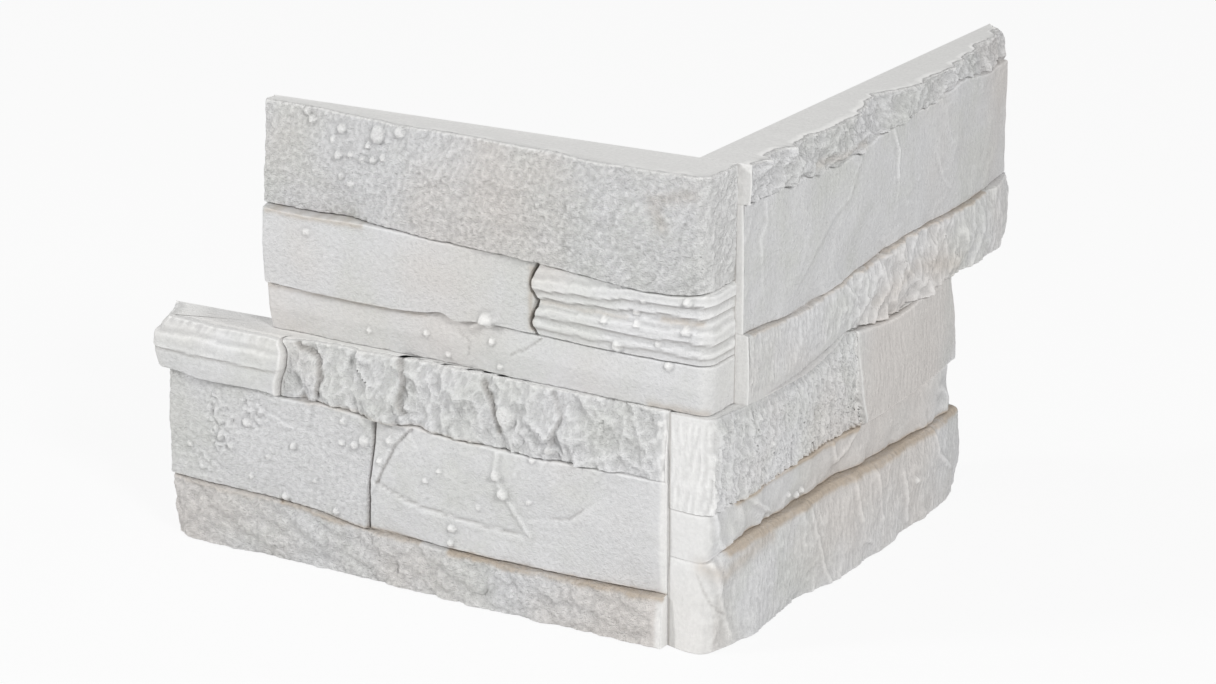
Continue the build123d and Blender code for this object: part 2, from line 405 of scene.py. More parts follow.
@dataclass(frozen=True)
class Joint:
    """A bed joint between two rows of stones, or the foot or top of a course."""

    height: Curve
    groove: Curve = flat(1.1)
    arris: float = 0.6
    shoulder: Curve = flat(0.0)
    ragged: float = 0.0
    blend: Curve = flat(0.0)
    edge: bool = False

    def level(self, run: Array) -> Array:
        """The joint's height at some runs, with its raggedness."""
        plain = self.height.at(run)
        if not self.ragged:
            return plain
        return plain + self.ragged * NOISE.layers(run / 9, run * 0 + 40, 3)


@dataclass(frozen=True)
class Upright:
    """An upright joint: its run by height, and how deep it is."""

    run: Curve
    groove: float = 2.0
    arris: float = 0.6
    half: float = 0.4
    calm: float = 0.0
    # Cream on the joint's wall: bare cast colour and also painted light, as the wall is lit brighter than
    # the faces
    wall_cast_and_light: float = 0.0


@dataclass(frozen=True)
class Stone:
    """One stone face: its depths from foot to head at listed runs, and its skin."""

    depths: tuple[tuple[float, tuple[float, ...]], ...]
    skin: Skin
    tone: float = 0.5

    def depth(self, run: Array, share: Array) -> Array:
        """The plain face's depth.

        Args:
            run: run in millimetres.
            share: height within the row, 0 at its foot and 1 at its head.

        Returns:
            Depth in millimetres.
        """
        count = len(self.depths[0][1])
        levels = [
            Curve(tuple((at, found[i]) for at, found in self.depths)).at(run) for i in range(count)
        ]
        place = np.clip(share, 0, 1) * (count - 1)
        out = levels[0] * 0
        for i, level in enumerate(levels):
            out = out + level * np.clip(1 - np.abs(place - i), 0, 1)
        return out


@dataclass(frozen=True)
class Band:
    """A row of stones, from the arris outwards, under its head joint."""

    stones: tuple[Stone, ...]
    head: Joint
    ends: tuple[tuple[float, float], ...]
    uprights: tuple[Upright, ...] = ()
    far_round: float = 2.5
    slant: float = 3.0


@dataclass(frozen=True)
class Course:
    """One course of a casting: its rows, and how it ends at the arris."""

    foot: Joint
    bands: tuple[Band, ...]
    near: float
    near_round: float
    beads: tuple[Bead, ...] = ()
    veins: tuple[Vein, ...] = ()
    patches: tuple[Patch, ...] = ()
    stains: tuple[Stain, ...] = ()
    fade: float = 0.0
    strip: float = 0.0
    end_cast: float = 0.0
    end_calm: float = 1.0
    end_swell: float = 0.0

    def returns(self) -> bool:
        """Whether the course passes the arris with a return."""
        return self.near < 0


@dataclass
class Plan:
    """The columns of a casting's skin, shared by its two courses."""

    shared_run: float
    corner: int = 8
    short_face: int = 20
    beyond: int = 46
    near_face: int = 22
    near_front: int = 14
    pitch: float = 0.95

    def spread(self, uprights: list[float]) -> Array:
        """Runs of the shared columns, closer together at the upright joints.

        Args:
            uprights: runs of the upright joints.

        Returns:
            Runs from the shared run's end in to the arris.
        """
        fine = np.linspace(0, self.shared_run, 4000)
        weight = np.ones_like(fine)
        for run in uprights:
            weight += 1.6 * np.exp(-(((fine - run) / 2.6) ** 2))
        total = np.concatenate(([0], np.cumsum(weight)[:-1]))
        count = int(self.shared_run / self.pitch) + 26
        wanted = np.linspace(0, total[-1], count)
        return np.interp(wanted, total, fine)[::-1]


# Rows of vertices, in millimetres from a joint and between rows
FINE_OFFSETS = (0.35, 0.7, 1.1, 1.6, 2.3, 3.1)
ROW_PITCH = 1.0
TYPICAL_RUN = 60.0
# Shares of the way in from the outline to the bond face, and across the step between courses
CAP_WAYS = (0.03, 0.1, 0.22, 0.4, 0.6, 0.8, 0.93, 1.0)
SHELF_WAYS = (0.06, 0.16, 0.32, 0.5, 0.68, 0.84, 0.94)
# Half a joint's width, and the depths over which a return's end swells and its foot is darkened with
# painted shade
JOINT_HALF = 0.36
END_DEPTH = 26.0
SEAM = 0.7
# How far columns follow an upright joint, and how far in an end draws them
BEND_REACH = 22.0
FAR_EASE = 40.0
NEAR_EASE = 30.0
# Shifts that keep the patterns of stones, rows and courses apart
STONE_SHIFT = 5.3
BAND_SHIFT = 11.9
COURSE_SHIFT = 31.0
# Texture height that counts as a full crest for the painted highlights and shade, and the angle from which
# an edge is sharp
CREST = 0.36
CREASE = 34.0
# Marks of the bare bond side and of the shelf: tan, painted shade, tone, bare cast with painted highlights,
# grit, brush, texture
BARE_MARKS = (0.0, 0.0, 0.5, 1.0, 0.15, 0.0, 0.0)
SHELF_MARKS = (0.0, 0.0, 0.5, 0.6, 0.4, 0.0, 0.0)
# Marks with an attribute of their own; the crest mark paints highlights on crests and shade in hollows
OWN_MARKS = {"grit": 4, "brush": 5, "painted_crest_light": 6}


def row_shares(height: float) -> list[float]:
    """Shares of a row's height at which the skin has vertices, finer at foot and head."""
    low, high = FINE_OFFSETS[-1], height - FINE_OFFSETS[-1]
    middle = np.linspace(low, high, max(2, int((high - low) / ROW_PITCH)))[1:-1]
    levels = [*FINE_OFFSETS, *middle, *(height - o for o in FINE_OFFSETS[::-1])]
    return [level / height for level in levels]


def edge_drop(distance: Array, radius: Array) -> Array:
    """How far a broken edge draws the face back at a distance from the edge."""
    x = np.clip(distance, 0, radius)
    return radius - np.sqrt(np.clip(radius**2 - (radius - x) ** 2, 0, None))


@dataclass
class Face:
    """One row of a course's face while it is worked out, with a value for each column.

    slot is how deep joints cut, and so how much painted shade they take. Painted shade under ledges, in
    cracks and at the seam has a field of its own, and so has how bare the casting shows, with painted
    highlights on beads and lit walls.
    """

    run: Array
    unrolled: Array
    height: Array
    texture: Array
    slot: Array
    painted_shadow: Array
    tone: Array
    grit: Array
    brush: Array
    cast: Array


class CourseSkin:
    """Works out one course's rows of vertices on the casting's shared columns."""

    def __init__(self, course: Course, plan: Plan, longer: bool, shift: float) -> None:
        """Lay out the columns.

        Args:
            course: the course to skin.
            plan: the casting's columns.
            longer: whether this course reaches beyond the shared run.
            shift: moves the patterns of this course.
        """
        self.course = course
        self.plan = plan
        self.longer = longer
        self.shift = shift
        marks = sorted(
            float(np.mean(upright.run.at(np.array([0.0, 100.0, 200.0]))))
            for band in course.bands for upright in band.uprights
        )
        self.marks = marks
        self.shared = plan.spread(marks)

    def columns(self, band: Band, share: float) -> tuple[Array, ...]:
        """Lay the columns round the plan of one row.

        Args:
            band: the row of stones.
            share: height within the row.

        Returns:
            At every column its run, how much of the face depth counts, the set-back from the
            face, and the two parts of the outward direction.
        """
        plan, course = self.plan, self.course
        far = float(Curve(band.ends).at(np.array(share)))
        count = plan.short_face if self.longer else plan.short_face + plan.beyond
        up = np.linspace(0, 1, count)
        parts = [self.end_face(far - band.slant * up, up, band.far_round, 1.0)]
        far -= band.slant
        parts.append(self.round_corner(far, band.far_round, 1.0))
        start = far - band.far_round
        if self.longer:
            parts.append(self.across(np.linspace(start, plan.shared_run, plan.beyond + 1)[:-1]))
            start = plan.shared_run
        drawn = smooth((self.shared - plan.shared_run) / FAR_EASE + 1)
        runs = self.shared + (start - plan.shared_run) * drawn
        if not course.returns():
            pulled = np.clip(1 - runs / NEAR_EASE, 0, 1)
            runs = runs + (course.near + course.near_round) * pulled
        parts.append(self.across(runs))
        count = plan.near_face
        if course.returns():
            past = np.linspace(0, course.near + course.near_round, plan.near_front + 1)[1:]
            parts.append(self.across(past))
        else:
            count += plan.near_front
        parts.append(self.round_corner(course.near, course.near_round, -1.0))
        down = np.linspace(1, 0, count)
        parts.append(self.end_face(np.full(count, course.near), down, course.near_round, -1.0))
        return tuple(np.concatenate(found) for found in zip(*parts))

    def across(self, runs: Array) -> tuple[Array, ...]:
        """Columns across the front."""
        full, none = np.ones(len(runs)), np.zeros(len(runs))
        return runs, full, none, none, full

    def end_face(self, runs: Array, portion: Array, radius: float, side: float) -> tuple[Array, ...]:
        """Columns over an end that looks out along the run, where side is 1, or back, where it is -1."""
        count = len(runs)
        return runs, portion, np.full(count, radius), side * np.ones(count), np.zeros(count)

    def round_corner(self, end: float, radius: float, side: float) -> tuple[Array, ...]:
        """Columns round the corner between an end and the front.

        Args:
            end: run of the end.
            radius: how far round the corner is.
            side: 1 at the far end and -1 at the near one.

        Returns:
            The columns, in the same parts as the whole row's.
        """
        sweep = (0, math.pi / 2) if side > 0 else (math.pi / 2, 0)
        turn = np.linspace(*sweep, self.plan.corner + 1)[1:-1]
        runs = end - side * (radius * (1 - np.cos(turn)))
        full = np.ones(len(turn))
        return runs, full, radius * (1 - np.sin(turn)), side * np.cos(turn), np.sin(turn)

    def bent(self, run: Array, height: Array, band: Band) -> Array:
        """Bend the columns near a row's upright joints to follow them."""
        moved = run.copy()
        for upright in band.uprights:
            line = upright.run.at(height)
            mark = min(self.marks, key=lambda at: abs(at - float(np.mean(line))))
            moved += (line - mark) * smooth(1 - np.abs(run - mark) / BEND_REACH)
        return moved

    def stone_relief(self, band: Band, run: Array, unrolled: Array, height: Array,
                     share: Array) -> tuple[Array, ...]:
        """Depth, texture, joint groove and looks of a row at some places.

        Args:
            band: the row of stones.
            run: run in millimetres.
            unrolled: run measured on round the corners.
            height: height in millimetres.
            share: height within the row.

        Returns:
            Depth of the plain face, texture on it, set-back of the upright joints, and the stones' looks:
            painted shadow, tone, grit, brush, and cream on the upright joints' walls, which is bare cast
            and painted light.
        """
        depth = np.zeros_like(run)
        texture = np.zeros_like(run)
        looks = np.zeros((5, *run.shape))
        low = np.full(run.shape, -FAR_OFF)
        for number, stone in enumerate(band.stones):
            high = (
                band.uprights[number].run.at(height) if number < len(band.uprights)
                else np.full(run.shape, FAR_OFF)
            )
            mine = (run >= low) & (run < high)
            shift = self.shift + STONE_SHIFT * number + BAND_SHIFT * self.course.bands.index(band)
            depth[mine] = stone.depth(run, share)[mine]
            texture[mine] = stone.skin.relief(unrolled, height, shift)[mine]
            looks[0, mine] = stone.skin.painted_shadow(unrolled, height)[mine]
            looks[1, mine] = stone.tone
            looks[2, mine] = stone.skin.grit
            looks[3, mine] = stone.skin.brush
            low = high
        groove = np.zeros_like(run)
        for upright in band.uprights:
            gap = np.abs(run - upright.run.at(height)) - upright.half
            if upright.calm:
                texture *= 0.15 + 0.85 * smooth(gap / upright.calm)
            # Cream on an upright joint's wall: bare cast colour and also painted light
            looks[4] = np.maximum(looks[4], upright.wall_cast_and_light * (1 - smooth(gap - 0.6)))
            groove += edge_drop(gap, np.full(run.shape, upright.arris))
            groove += upright.groove * (1 - smooth(gap / 0.5 + 1))
        return depth, texture, groove, looks

    def row(self, index: int, share: float) -> tuple[Array, Array]:
        """One row of vertices, with its colour marks.

        Args:
            index: which row of stones, from the foot.
            share: height within it.

        Returns:
            Run, depth and height of each vertex, and its marks: tan, painted shade, tone, bare cast with
            painted highlights, grit, brush and texture.
        """
        course = self.course
        band = course.bands[index]
        feet = course.bands[index - 1].head if index else course.foot
        run, portion, setback, out_run, out_depth = self.columns(band, share)
        front = np.abs(out_depth) > 0.999
        low, high = feet.level(run), band.head.level(run)
        run = np.where(front, self.bent(run, low + (high - low) * share, band), run)
        low, high = feet.level(run), band.head.level(run)
        height = low + (high - low) * share
        shares = np.full(run.shape, share)
        plain = band.stones[-1].depth(run, shares)
        plain = np.where(run < np.mean(run), band.stones[0].depth(run, shares), plain)
        beyond = plain - (plain - setback) * portion
        unrolled = np.where(out_run > 0.001, run + beyond, np.where(out_run < -0.001, run - beyond, run))
        depth, texture, groove, looks = self.stone_relief(band, run, unrolled, height, shares)
        face = Face(run, unrolled, height, texture, groove.copy(), *looks)
        joints = ((feet, height - low, 0), (band.head, high - height, 1))
        self.cut_joints(face, joints, index)
        if share >= 1 and index + 1 < len(course.bands):
            depth = np.minimum(depth, self.depth_above(index + 1, run))
        self.add_details(face)
        self.calm_arris(face)
        face.texture = face.texture - groove
        faces = (depth - setback) * portion
        face.texture = face.texture * np.where(front, 1, smooth(faces / 2.5))
        self.finish_end(face, np.clip(-out_run, 0, 1), faces)
        brush = face.brush * (1 - 0.7 * face.cast)
        out = face.texture
        where = np.stack((run + out_run * out, faces + out_depth * out, height), axis=1)
        where[:, 1] = np.maximum(where[:, 1], 0)
        if course.end_swell:
            swell = np.sin(math.pi * np.clip(where[:, 1] / END_DEPTH, 0, 1))
            swell = swell * np.clip(1 - height / COURSE_HEIGHT, 0, 1) * smooth(-run / 15)
            where[:, 0] -= course.end_swell * swell
        tan = sum((s.share(unrolled, height) for s in course.stains), np.zeros_like(run))
        # Painted shade: the joints' cuts, ledges, cracks and the seam are coloured darker
        painted_shade = np.maximum(np.clip(face.slot, 0, 2) / 2, np.clip(face.painted_shadow, 0, 1))
        cast = face.cast
        if band.head.edge and share > 0.9:
            cast = np.maximum(cast, 0.8 * (1 - smooth(high - height - 0.3)))
        marks = (np.clip(tan, 0, 1), painted_shade, face.tone, cast, face.grit, brush, out + groove)
        return where, np.stack(marks, axis=1)

    def cut_joints(self, face: Face, joints: tuple[tuple[Joint, Array, int], ...], index: int) -> None:
        """Break the stones' edges at the joints below and above, and cut the joints.

        Args:
            face: the row's face, which is changed.
            joints: each joint with the distance to it, and 1 where the stone is beneath it.
            index: which row of stones, from the foot.
        """
        ragged = NOISE.layers(face.unrolled / 5 + index, face.height / 9, 2)
        wear = 0.65 + 0.8 * np.clip(ragged + 0.35, 0, 1.4)
        for joint, gap, beneath in joints:
            cut = joint.groove.at(face.unrolled)
            blend = joint.blend.at(face.unrolled)
            face.texture = face.texture * (1 - blend * (1 - smooth(gap / 7)))
            radius = np.maximum(joint.arris * wear * np.clip(cut / 1.2, 0.08, 1), 0.02)
            radius = radius + beneath * joint.shoulder.at(face.unrolled) * (0.8 + 0.2 * wear)
            gap = gap - (0 if joint.edge else JOINT_HALF)
            face.texture = face.texture - edge_drop(gap, radius)
            if not joint.edge:
                notch = cut * (1 - smooth(gap / JOINT_HALF + 1))
                face.texture = face.texture - notch
                face.slot = face.slot + notch

    def depth_above(self, index: int, run: Array) -> Array:
        """Plain depth at the foot of a row, which the row beneath it meets."""
        stones = self.course.bands[index].stones
        foot = run * 0
        first, last = stones[0].depth(run, foot), stones[-1].depth(run, foot)
        return np.where(run < self.shared_split(index), first, last)

    def add_details(self, face: Face) -> None:
        """Add the course's beads, veins and rough patches, with painted shade in the cracks and painted
        highlights on the beads.
        """
        course, unrolled, height = self.course, face.unrolled, face.height
        for piece in (*course.beads, *course.veins, *course.patches):
            face.texture = face.texture + piece.relief(unrolled, height)
        for vein in course.veins:
            face.painted_shadow = face.painted_shadow + vein.painted_shadow(unrolled, height)
        for bead in course.beads:
            # Painted highlight: the beads are coloured cream to look lit
            bead_highlight = 0.5 * smooth(2.5 * bead.relief(unrolled, height) / bead.radius)
            face.cast = np.maximum(face.cast, bead_highlight)

    def calm_arris(self, face: Face) -> None:
        """Smooth the texture towards an arris, and bare the cast strip along it."""
        course, run = self.course, face.run
        if course.fade:
            calm = smooth((run - 1) / course.fade)
            faded = face.texture * (0.35 + 0.65 * calm)
            face.texture = np.where(run < course.fade, faded, face.texture)
            face.grit = face.grit * (0.2 + 0.8 * calm)
        if course.strip:
            face.cast = np.maximum(face.cast, 0.85 * smooth((course.strip - run) / 1.2))

    def finish_end(self, face: Face, turned: Array, depth: Array) -> None:
        """Give the near end its own look: a textured return, or a flat butt.

        Args:
            face: the row's face, which is changed.
            turned: how far round to the near end each column lies, from 0 to 1.
            depth: depth of the face, without its texture.
        """
        course = self.course
        if course.returns():
            kept = 1 - (1 - course.end_calm) * turned
            face.texture = face.texture * kept
            face.grit = face.grit * kept
            face.cast = np.maximum(face.cast, course.end_cast * smooth(turned * 1.6))
            # Painted shade on the return's end, darker towards the seam at the bond face
            face.painted_shadow = face.painted_shadow + turned * (1 - smooth(depth - SEAM))
        else:
            butt = turned > 0.5
            face.texture = np.where(butt, np.clip(0.12 * face.texture, -0.3, 0.1), face.texture)
            face.grit = np.where(butt, 0.15, face.grit)
            # Cream on the butt: bare cast colour, and also painted light that lifts the end out of its
            # shade
            face.cast = np.where(butt, 1.0, face.cast)

    def shared_split(self, index: int) -> float:
        """Run that parts the first and last stones of a row."""
        uprights = self.course.bands[index].uprights
        return self.marks[0] if uprights else FAR_OFF

    def rows(self) -> tuple[list[Array], list[Array]]:
        """All rows of the course, from its foot to its top.

        Returns:
            The rows' vertices and their colour marks.
        """
        made, marks = [], []
        for index, band in enumerate(self.course.bands):
            feet = self.course.bands[index - 1].head if index else self.course.foot
            middle = np.array([TYPICAL_RUN])
            height = float((band.head.height.at(middle) - feet.height.at(middle))[0])
            shares = [*([] if index else [0.0]), *row_shares(height), 1.0]
            for share in shares:
                where, look = self.row(index, share)
                made.append(where)
                marks.append(look)
        return made, marks


# Castings


@dataclass
class Casting:
    """One casting: its two courses on shared columns, closed by its top, bed and bond face."""

    name: str
    node: str
    slot: str
    lower: Course
    upper: Course
    plan: Plan
    upper_longer: bool
    turned: bool
    shift: float

    def skins(self) -> tuple[CourseSkin, CourseSkin]:
        """The lower and the upper course, laid on the shared columns."""
        lower = CourseSkin(self.lower, self.plan, not self.upper_longer, self.shift)
        upper = CourseSkin(self.upper, self.plan, self.upper_longer, self.shift + COURSE_SHIFT)
        return lower, upper

    def cap(self, outline: Array, sense: float) -> list[Array]:
        """Rows that close the top or the bed, from the outline in to the bond face.

        Args:
            outline: the outermost row of the course.
            sense: 1 at the top and -1 at the bed.

        Returns:
            Rows from the outline inwards.
        """
        step = np.abs(np.diff(outline[:, 0])) + 0.12 * np.abs(np.diff(outline[:, 1]))
        share = np.concatenate(([0], np.cumsum(step))) / step.sum()
        back = outline.copy()
        back[:, 0] = outline[0, 0] + (outline[-1, 0] - outline[0, 0]) * share
        back[:, 1] = 0
        made = []
        for way in CAP_WAYS:
            row = outline + (back - outline) * way
            dip = 0.18 * (1 + NOISE.layers(row[:, 0] / 9, row[:, 1] / 9 + 50, 3)) * smooth(8 * way)
            row[:, 2] = outline[:, 2] - sense * np.clip(dip, 0, 0.5) * smooth((1 - way) * 6)
            made.append(row)
        return made

    def shelf(self, low: Array, high: Array) -> list[Array]:
        """Rows across the step between the two courses."""
        return [low + (high - low) * way for way in SHELF_WAYS]

    def build(self) -> bpy.types.Object:
        """Make the casting's closed skin.

        Returns:
            The new object, in place.
        """
        lower, upper = self.skins()
        low_rows, low_marks = lower.rows()
        high_rows, high_marks = upper.rows()
        shelf = self.shelf(low_rows[-1], high_rows[0])
        foot = self.cap(low_rows[0], -1)[::-1]
        top = self.cap(high_rows[-1], 1)
        rows = [*foot, *low_rows, *shelf, *high_rows, *top]
        bare = np.zeros_like(low_marks[0]) + np.array(BARE_MARKS)
        plain = np.zeros_like(low_marks[0]) + np.array(SHELF_MARKS)
        marks = np.array([
            *(bare for _ in foot), *low_marks, *(plain for _ in shelf), *high_marks,
            *(bare for _ in top),
        ])
        # Painted highlights on crests and painted shade in the hollows between them
        painted_crest_light = OWN_MARKS["painted_crest_light"]
        marks[..., painted_crest_light] = self.crests(marks[..., painted_crest_light])
        # The bond face is a single face, so the columns round it share one look
        marks[:, (0, -1)] = marks[0, 0]
        return self.mesh(np.array(rows), marks, len(foot), len(top))

    def crests(self, texture: Array) -> Array:
        """How far each vertex stands over or under its neighbours, from -0.55 to 1, which sets painted
        highlights and shade.
        """
        around = np.zeros_like(texture)
        for step_row in range(-2, 3):
            for step_column in range(-2, 3):
                around += np.roll(texture, (step_row, step_column), (0, 1))
        return np.clip((texture - around / 25) / CREST, -0.55, 1)

    def mesh(self, rows: Array, marks: Array, foot: int, top: int) -> bpy.types.Object:
        """Turn rows of vertices into a closed mesh.

        Args:
            rows: run, depth and height of every vertex.
            marks: colour marks of every vertex.
            foot: how many rows close the bed.
            top: how many rows close the top.

        Returns:
            The mesh's object.
        """
        count, columns = rows.shape[:2]
        run, depth, height = rows[..., 0], rows[..., 1], rows[..., 2]
        if self.turned:
            world = np.stack((depth, run, height), axis=-1)
        else:
            world = np.stack((-run, -depth, height), axis=-1)
        world = world.reshape(-1, 3) * MM
        low, high = (np.array(corner) for corner in CAD_BOUNDS)
        world = np.clip(world, low, high)
        number = np.arange(count * columns).reshape(count, columns)
        quads = np.stack(
            (number[:-1, :-1], number[:-1, 1:], number[1:, 1:], number[1:, :-1]), axis=-1
        ).reshape(-1, 4)
        side = slice(foot, count - top)
        back = [
            *number[side, 0], *number[-1, 1:], *number[side, -1][::-1][1:],
            *number[0, 1:-1][::-1],
        ]
        mesh = bpy.data.meshes.new(self.name)
        mesh.from_pydata(world.tolist(), [], [*quads.tolist(), [int(i) for i in back]])
        marks = marks.reshape(-1, marks.shape[-1]).astype(np.float32)
        layer = mesh.attributes.new("marks", "FLOAT_COLOR", "POINT")
        layer.data.foreach_set("color", marks[:, :4].reshape(-1))
        for name, column in OWN_MARKS.items():
            layer = mesh.attributes.new(name, "FLOAT", "POINT")
            layer.data.foreach_set("value", np.ascontiguousarray(marks[:, column]))
        made = bmesh.new()
        made.from_mesh(mesh)
        bmesh.ops.remove_doubles(made, verts=made.verts, dist=1e-6)
        bmesh.ops.dissolve_degenerate(made, dist=1e-7, edges=made.edges)
        bmesh.ops.recalc_face_normals(made, faces=made.faces)
        open_edges = sum(1 for edge in made.edges if len(edge.link_faces) != 2)
        made.to_mesh(mesh)
        made.free()
        mesh.shade_smooth()
        mesh.set_sharp_from_angle(angle=math.radians(CREASE))
        LOG.info("%s: %d vertices, %d faces, %d open edges", self.name, len(mesh.vertices),
                 len(mesh.polygons), open_edges)
        found = bpy.data.objects.new(self.name, mesh)
        bpy.context.scene.collection.objects.link(found)
        return found

    def dress(self, piece: bpy.types.Object, stone: "CastStone") -> None:
        """Give the casting its finish and place it on the frame."""
        piece.data.materials.append(stone.material(self.slot))
        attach(piece, "root")
        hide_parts(self.node)


# Materials


class Graph:
    """Builds one material's nodes."""

    def __init__(self, tree: bpy.types.NodeTree) -> None:
        """Start from an empty tree."""
        self.tree = tree
        tree.nodes.clear()

    def node(self, kind: str, settings: dict | None = None, inputs: dict | None = None) -> bpy.types.Node:
        """Add a node.

        Args:
            kind: the node's type.
            settings: its own settings, set before its sockets.
            inputs: values or links of its sockets, by name or number.

        Returns:
            The new node.
        """
        made = self.tree.nodes.new(kind)
        for key, value in (settings or {}).items():
            setattr(made, key, value)
        for key, value in (inputs or {}).items():
            self.feed(made.inputs[key], value)
        return made

    def feed(self, socket: bpy.types.NodeSocket, value: object) -> None:
        """Link a socket, or set its value."""
        if isinstance(value, Number):
            self.tree.links.new(value.socket, socket)
        elif isinstance(value, bpy.types.NodeSocket):
            self.tree.links.new(value, socket)
        else:
            socket.default_value = value

    def number(self, socket: bpy.types.NodeSocket) -> "Number":
        """A socket's number, ready for arithmetic."""
        return Number(self, socket)

    def noise(self, where: object, scale: float, detail: float = 3.0, rough: float = 0.55) -> "Number":
        """Noise from 0 to 1 over the piece, with its scale in cells for each metre."""
        made = self.node(
            "ShaderNodeTexNoise", {"noise_dimensions": "3D"},
            {"Vector": where, "Scale": scale, "Detail": detail, "Roughness": rough},
        )
        return self.number(made.outputs[0])

    def between(self, value: "Number", low: float, high: float) -> "Number":
        """Spread a number's low to high over 0 to 1, eased and held beyond both."""
        made = self.node(
            "ShaderNodeMapRange", {"interpolation_type": "SMOOTHSTEP"},
            {0: value, 1: low, 2: high, 3: 0.0, 4: 1.0},
        )
        return self.number(made.outputs[0])

    def mix(self, factor: object, first: object, second: object, way: str = "MIX") -> bpy.types.NodeSocket:
        """Mix two colours.

        Args:
            factor: share of the second colour.
            first: the first colour.
            second: the second colour.
            way: how they are mixed.

        Returns:
            The mixed colour's socket.
        """
        made = self.node(
            "ShaderNodeMix", {"data_type": "RGBA", "blend_type": way, "clamp_factor": True},
            {0: factor, 6: first, 7: second},
        )
        return made.outputs[2]


class Number:
    """A number that varies over a surface; arithmetic on it adds Math nodes."""

    def __init__(self, graph: Graph, socket: bpy.types.NodeSocket) -> None:
        """Wrap a socket."""
        self.graph = graph
        self.socket = socket

    def join(self, operation: str, first: object, second: object) -> "Number":
        """Add one Math node."""
        made = self.graph.node("ShaderNodeMath", {"operation": operation}, {0: first, 1: second})
        return Number(self.graph, made.outputs[0])

    def __add__(self, other: object) -> "Number":
        """This number plus another."""
        return self.join("ADD", self, other)

    def __radd__(self, other: object) -> "Number":
        """Another number plus this one."""
        return self.join("ADD", other, self)

    def __mul__(self, other: object) -> "Number":
        """This number times another."""
        return self.join("MULTIPLY", self, other)

    def __rmul__(self, other: object) -> "Number":
        """Another number times this one."""
        return self.join("MULTIPLY", other, self)


Colour = tuple[float, float, float, float]


@dataclass(frozen=True)
class CastStone:
    """The finish of cast concrete stone: off-white, matt, finely sandy, with faint tan smears, painted
    shade in joints and hollows and painted highlights on crests and beads.
    """

    body: Colour = (0.725, 0.725, 0.73, 1.0)
    cool: Colour = (0.685, 0.69, 0.67, 1.0)
    blush: Colour = (0.71, 0.68, 0.655, 1.0)
    # Cream of the bare cast, also used for painted highlights on beads, lit joint walls and the butt
    cream: Colour = (0.86, 0.855, 0.84, 1.0)
    tan: Colour = (0.47, 0.39, 0.305, 1.0)
    # Dark colour of the painted shade
    shade: Colour = (0.27, 0.24, 0.215, 1.0)
    grain_height: float = 0.0016

    def material(self, name: str) -> bpy.types.Material:
        """Build the material.

        Args:
            name: the record's slot that it stands for.

        Returns:
            The finished material.
        """
        made = bpy.data.materials.new(name)
        made.use_nodes = True
        graph = Graph(made.node_tree)
        where = graph.node("ShaderNodeTexCoord").outputs["Object"]
        marks = graph.node("ShaderNodeAttribute", {"attribute_name": "marks"})
        parts = graph.node("ShaderNodeSeparateColor", {}, {0: marks.outputs["Color"]})
        tan = graph.number(parts.outputs[0])
        painted_shade = graph.number(parts.outputs[1])
        tone = graph.number(parts.outputs[2])
        cast = graph.number(marks.outputs["Alpha"])
        grit, brush, painted_crest_light = (
            graph.number(graph.node("ShaderNodeAttribute", {"attribute_name": name}).outputs["Fac"])
            for name in OWN_MARKS
        )
        drawn = graph.node("ShaderNodeMapping", {}, {"Vector": where, "Scale": (1.0, 1.0, 0.13)})
        streak = graph.noise(drawn.outputs[0], 780.0, 3.0, 0.6)
        clouds = graph.noise(where, 22.0, 4.0, 0.6)
        patches = graph.noise(where, 9.0, 3.0, 0.5)
        sand = graph.noise(where, 620.0, 3.0, 0.6)
        speck = graph.noise(where, 1500.0, 2.0, 0.5)
        colour = graph.mix(graph.between(clouds, 0.42, 0.68), self.body, self.cool)
        colour = graph.mix(graph.between(patches + 0.5 * tone, 0.72, 0.95), colour, self.blush)
        # Cream where the casting is bare, with painted highlights
        colour = graph.mix(0.95 * cast, colour, self.cream)
        smear = tan * graph.between(clouds + 0.35 * sand, 0.3, 0.75)
        colour = graph.mix(0.85 * smear, colour, self.tan)
        # Painted shade in joints, cracks, under ledges and at the seam
        colour = graph.mix(0.6 * painted_shade, colour, self.shade)
        # Lighter and darker sand grain and brush streaks, and painted highlights and shade from the crest
        # mark
        light = 0.855 + 0.22 * sand + 0.05 * streak * brush + 0.17 * painted_crest_light
        grey = graph.node("ShaderNodeCombineColor", {}, {0: light, 1: light, 2: light})
        colour = graph.mix(1.0, colour, grey.outputs[0], "MULTIPLY")
        bump = graph.node(
            "ShaderNodeBump", {},
            {
                "Height": grit * (sand + 0.4 * speck) + 0.5 * brush * streak,
                "Strength": 1.0, "Distance": self.grain_height,
            },
        )
        shader = graph.node(
            "ShaderNodeBsdfPrincipled", {},
            {
                "Base Color": colour, "Roughness": 0.8 + 0.14 * sand,
                "Specular IOR Level": 0.35, "Normal": bump.outputs[0],
            },
        )
        graph.node("ShaderNodeOutputMaterial", {}, {0: shader.outputs[0]})
        return made


# Studio


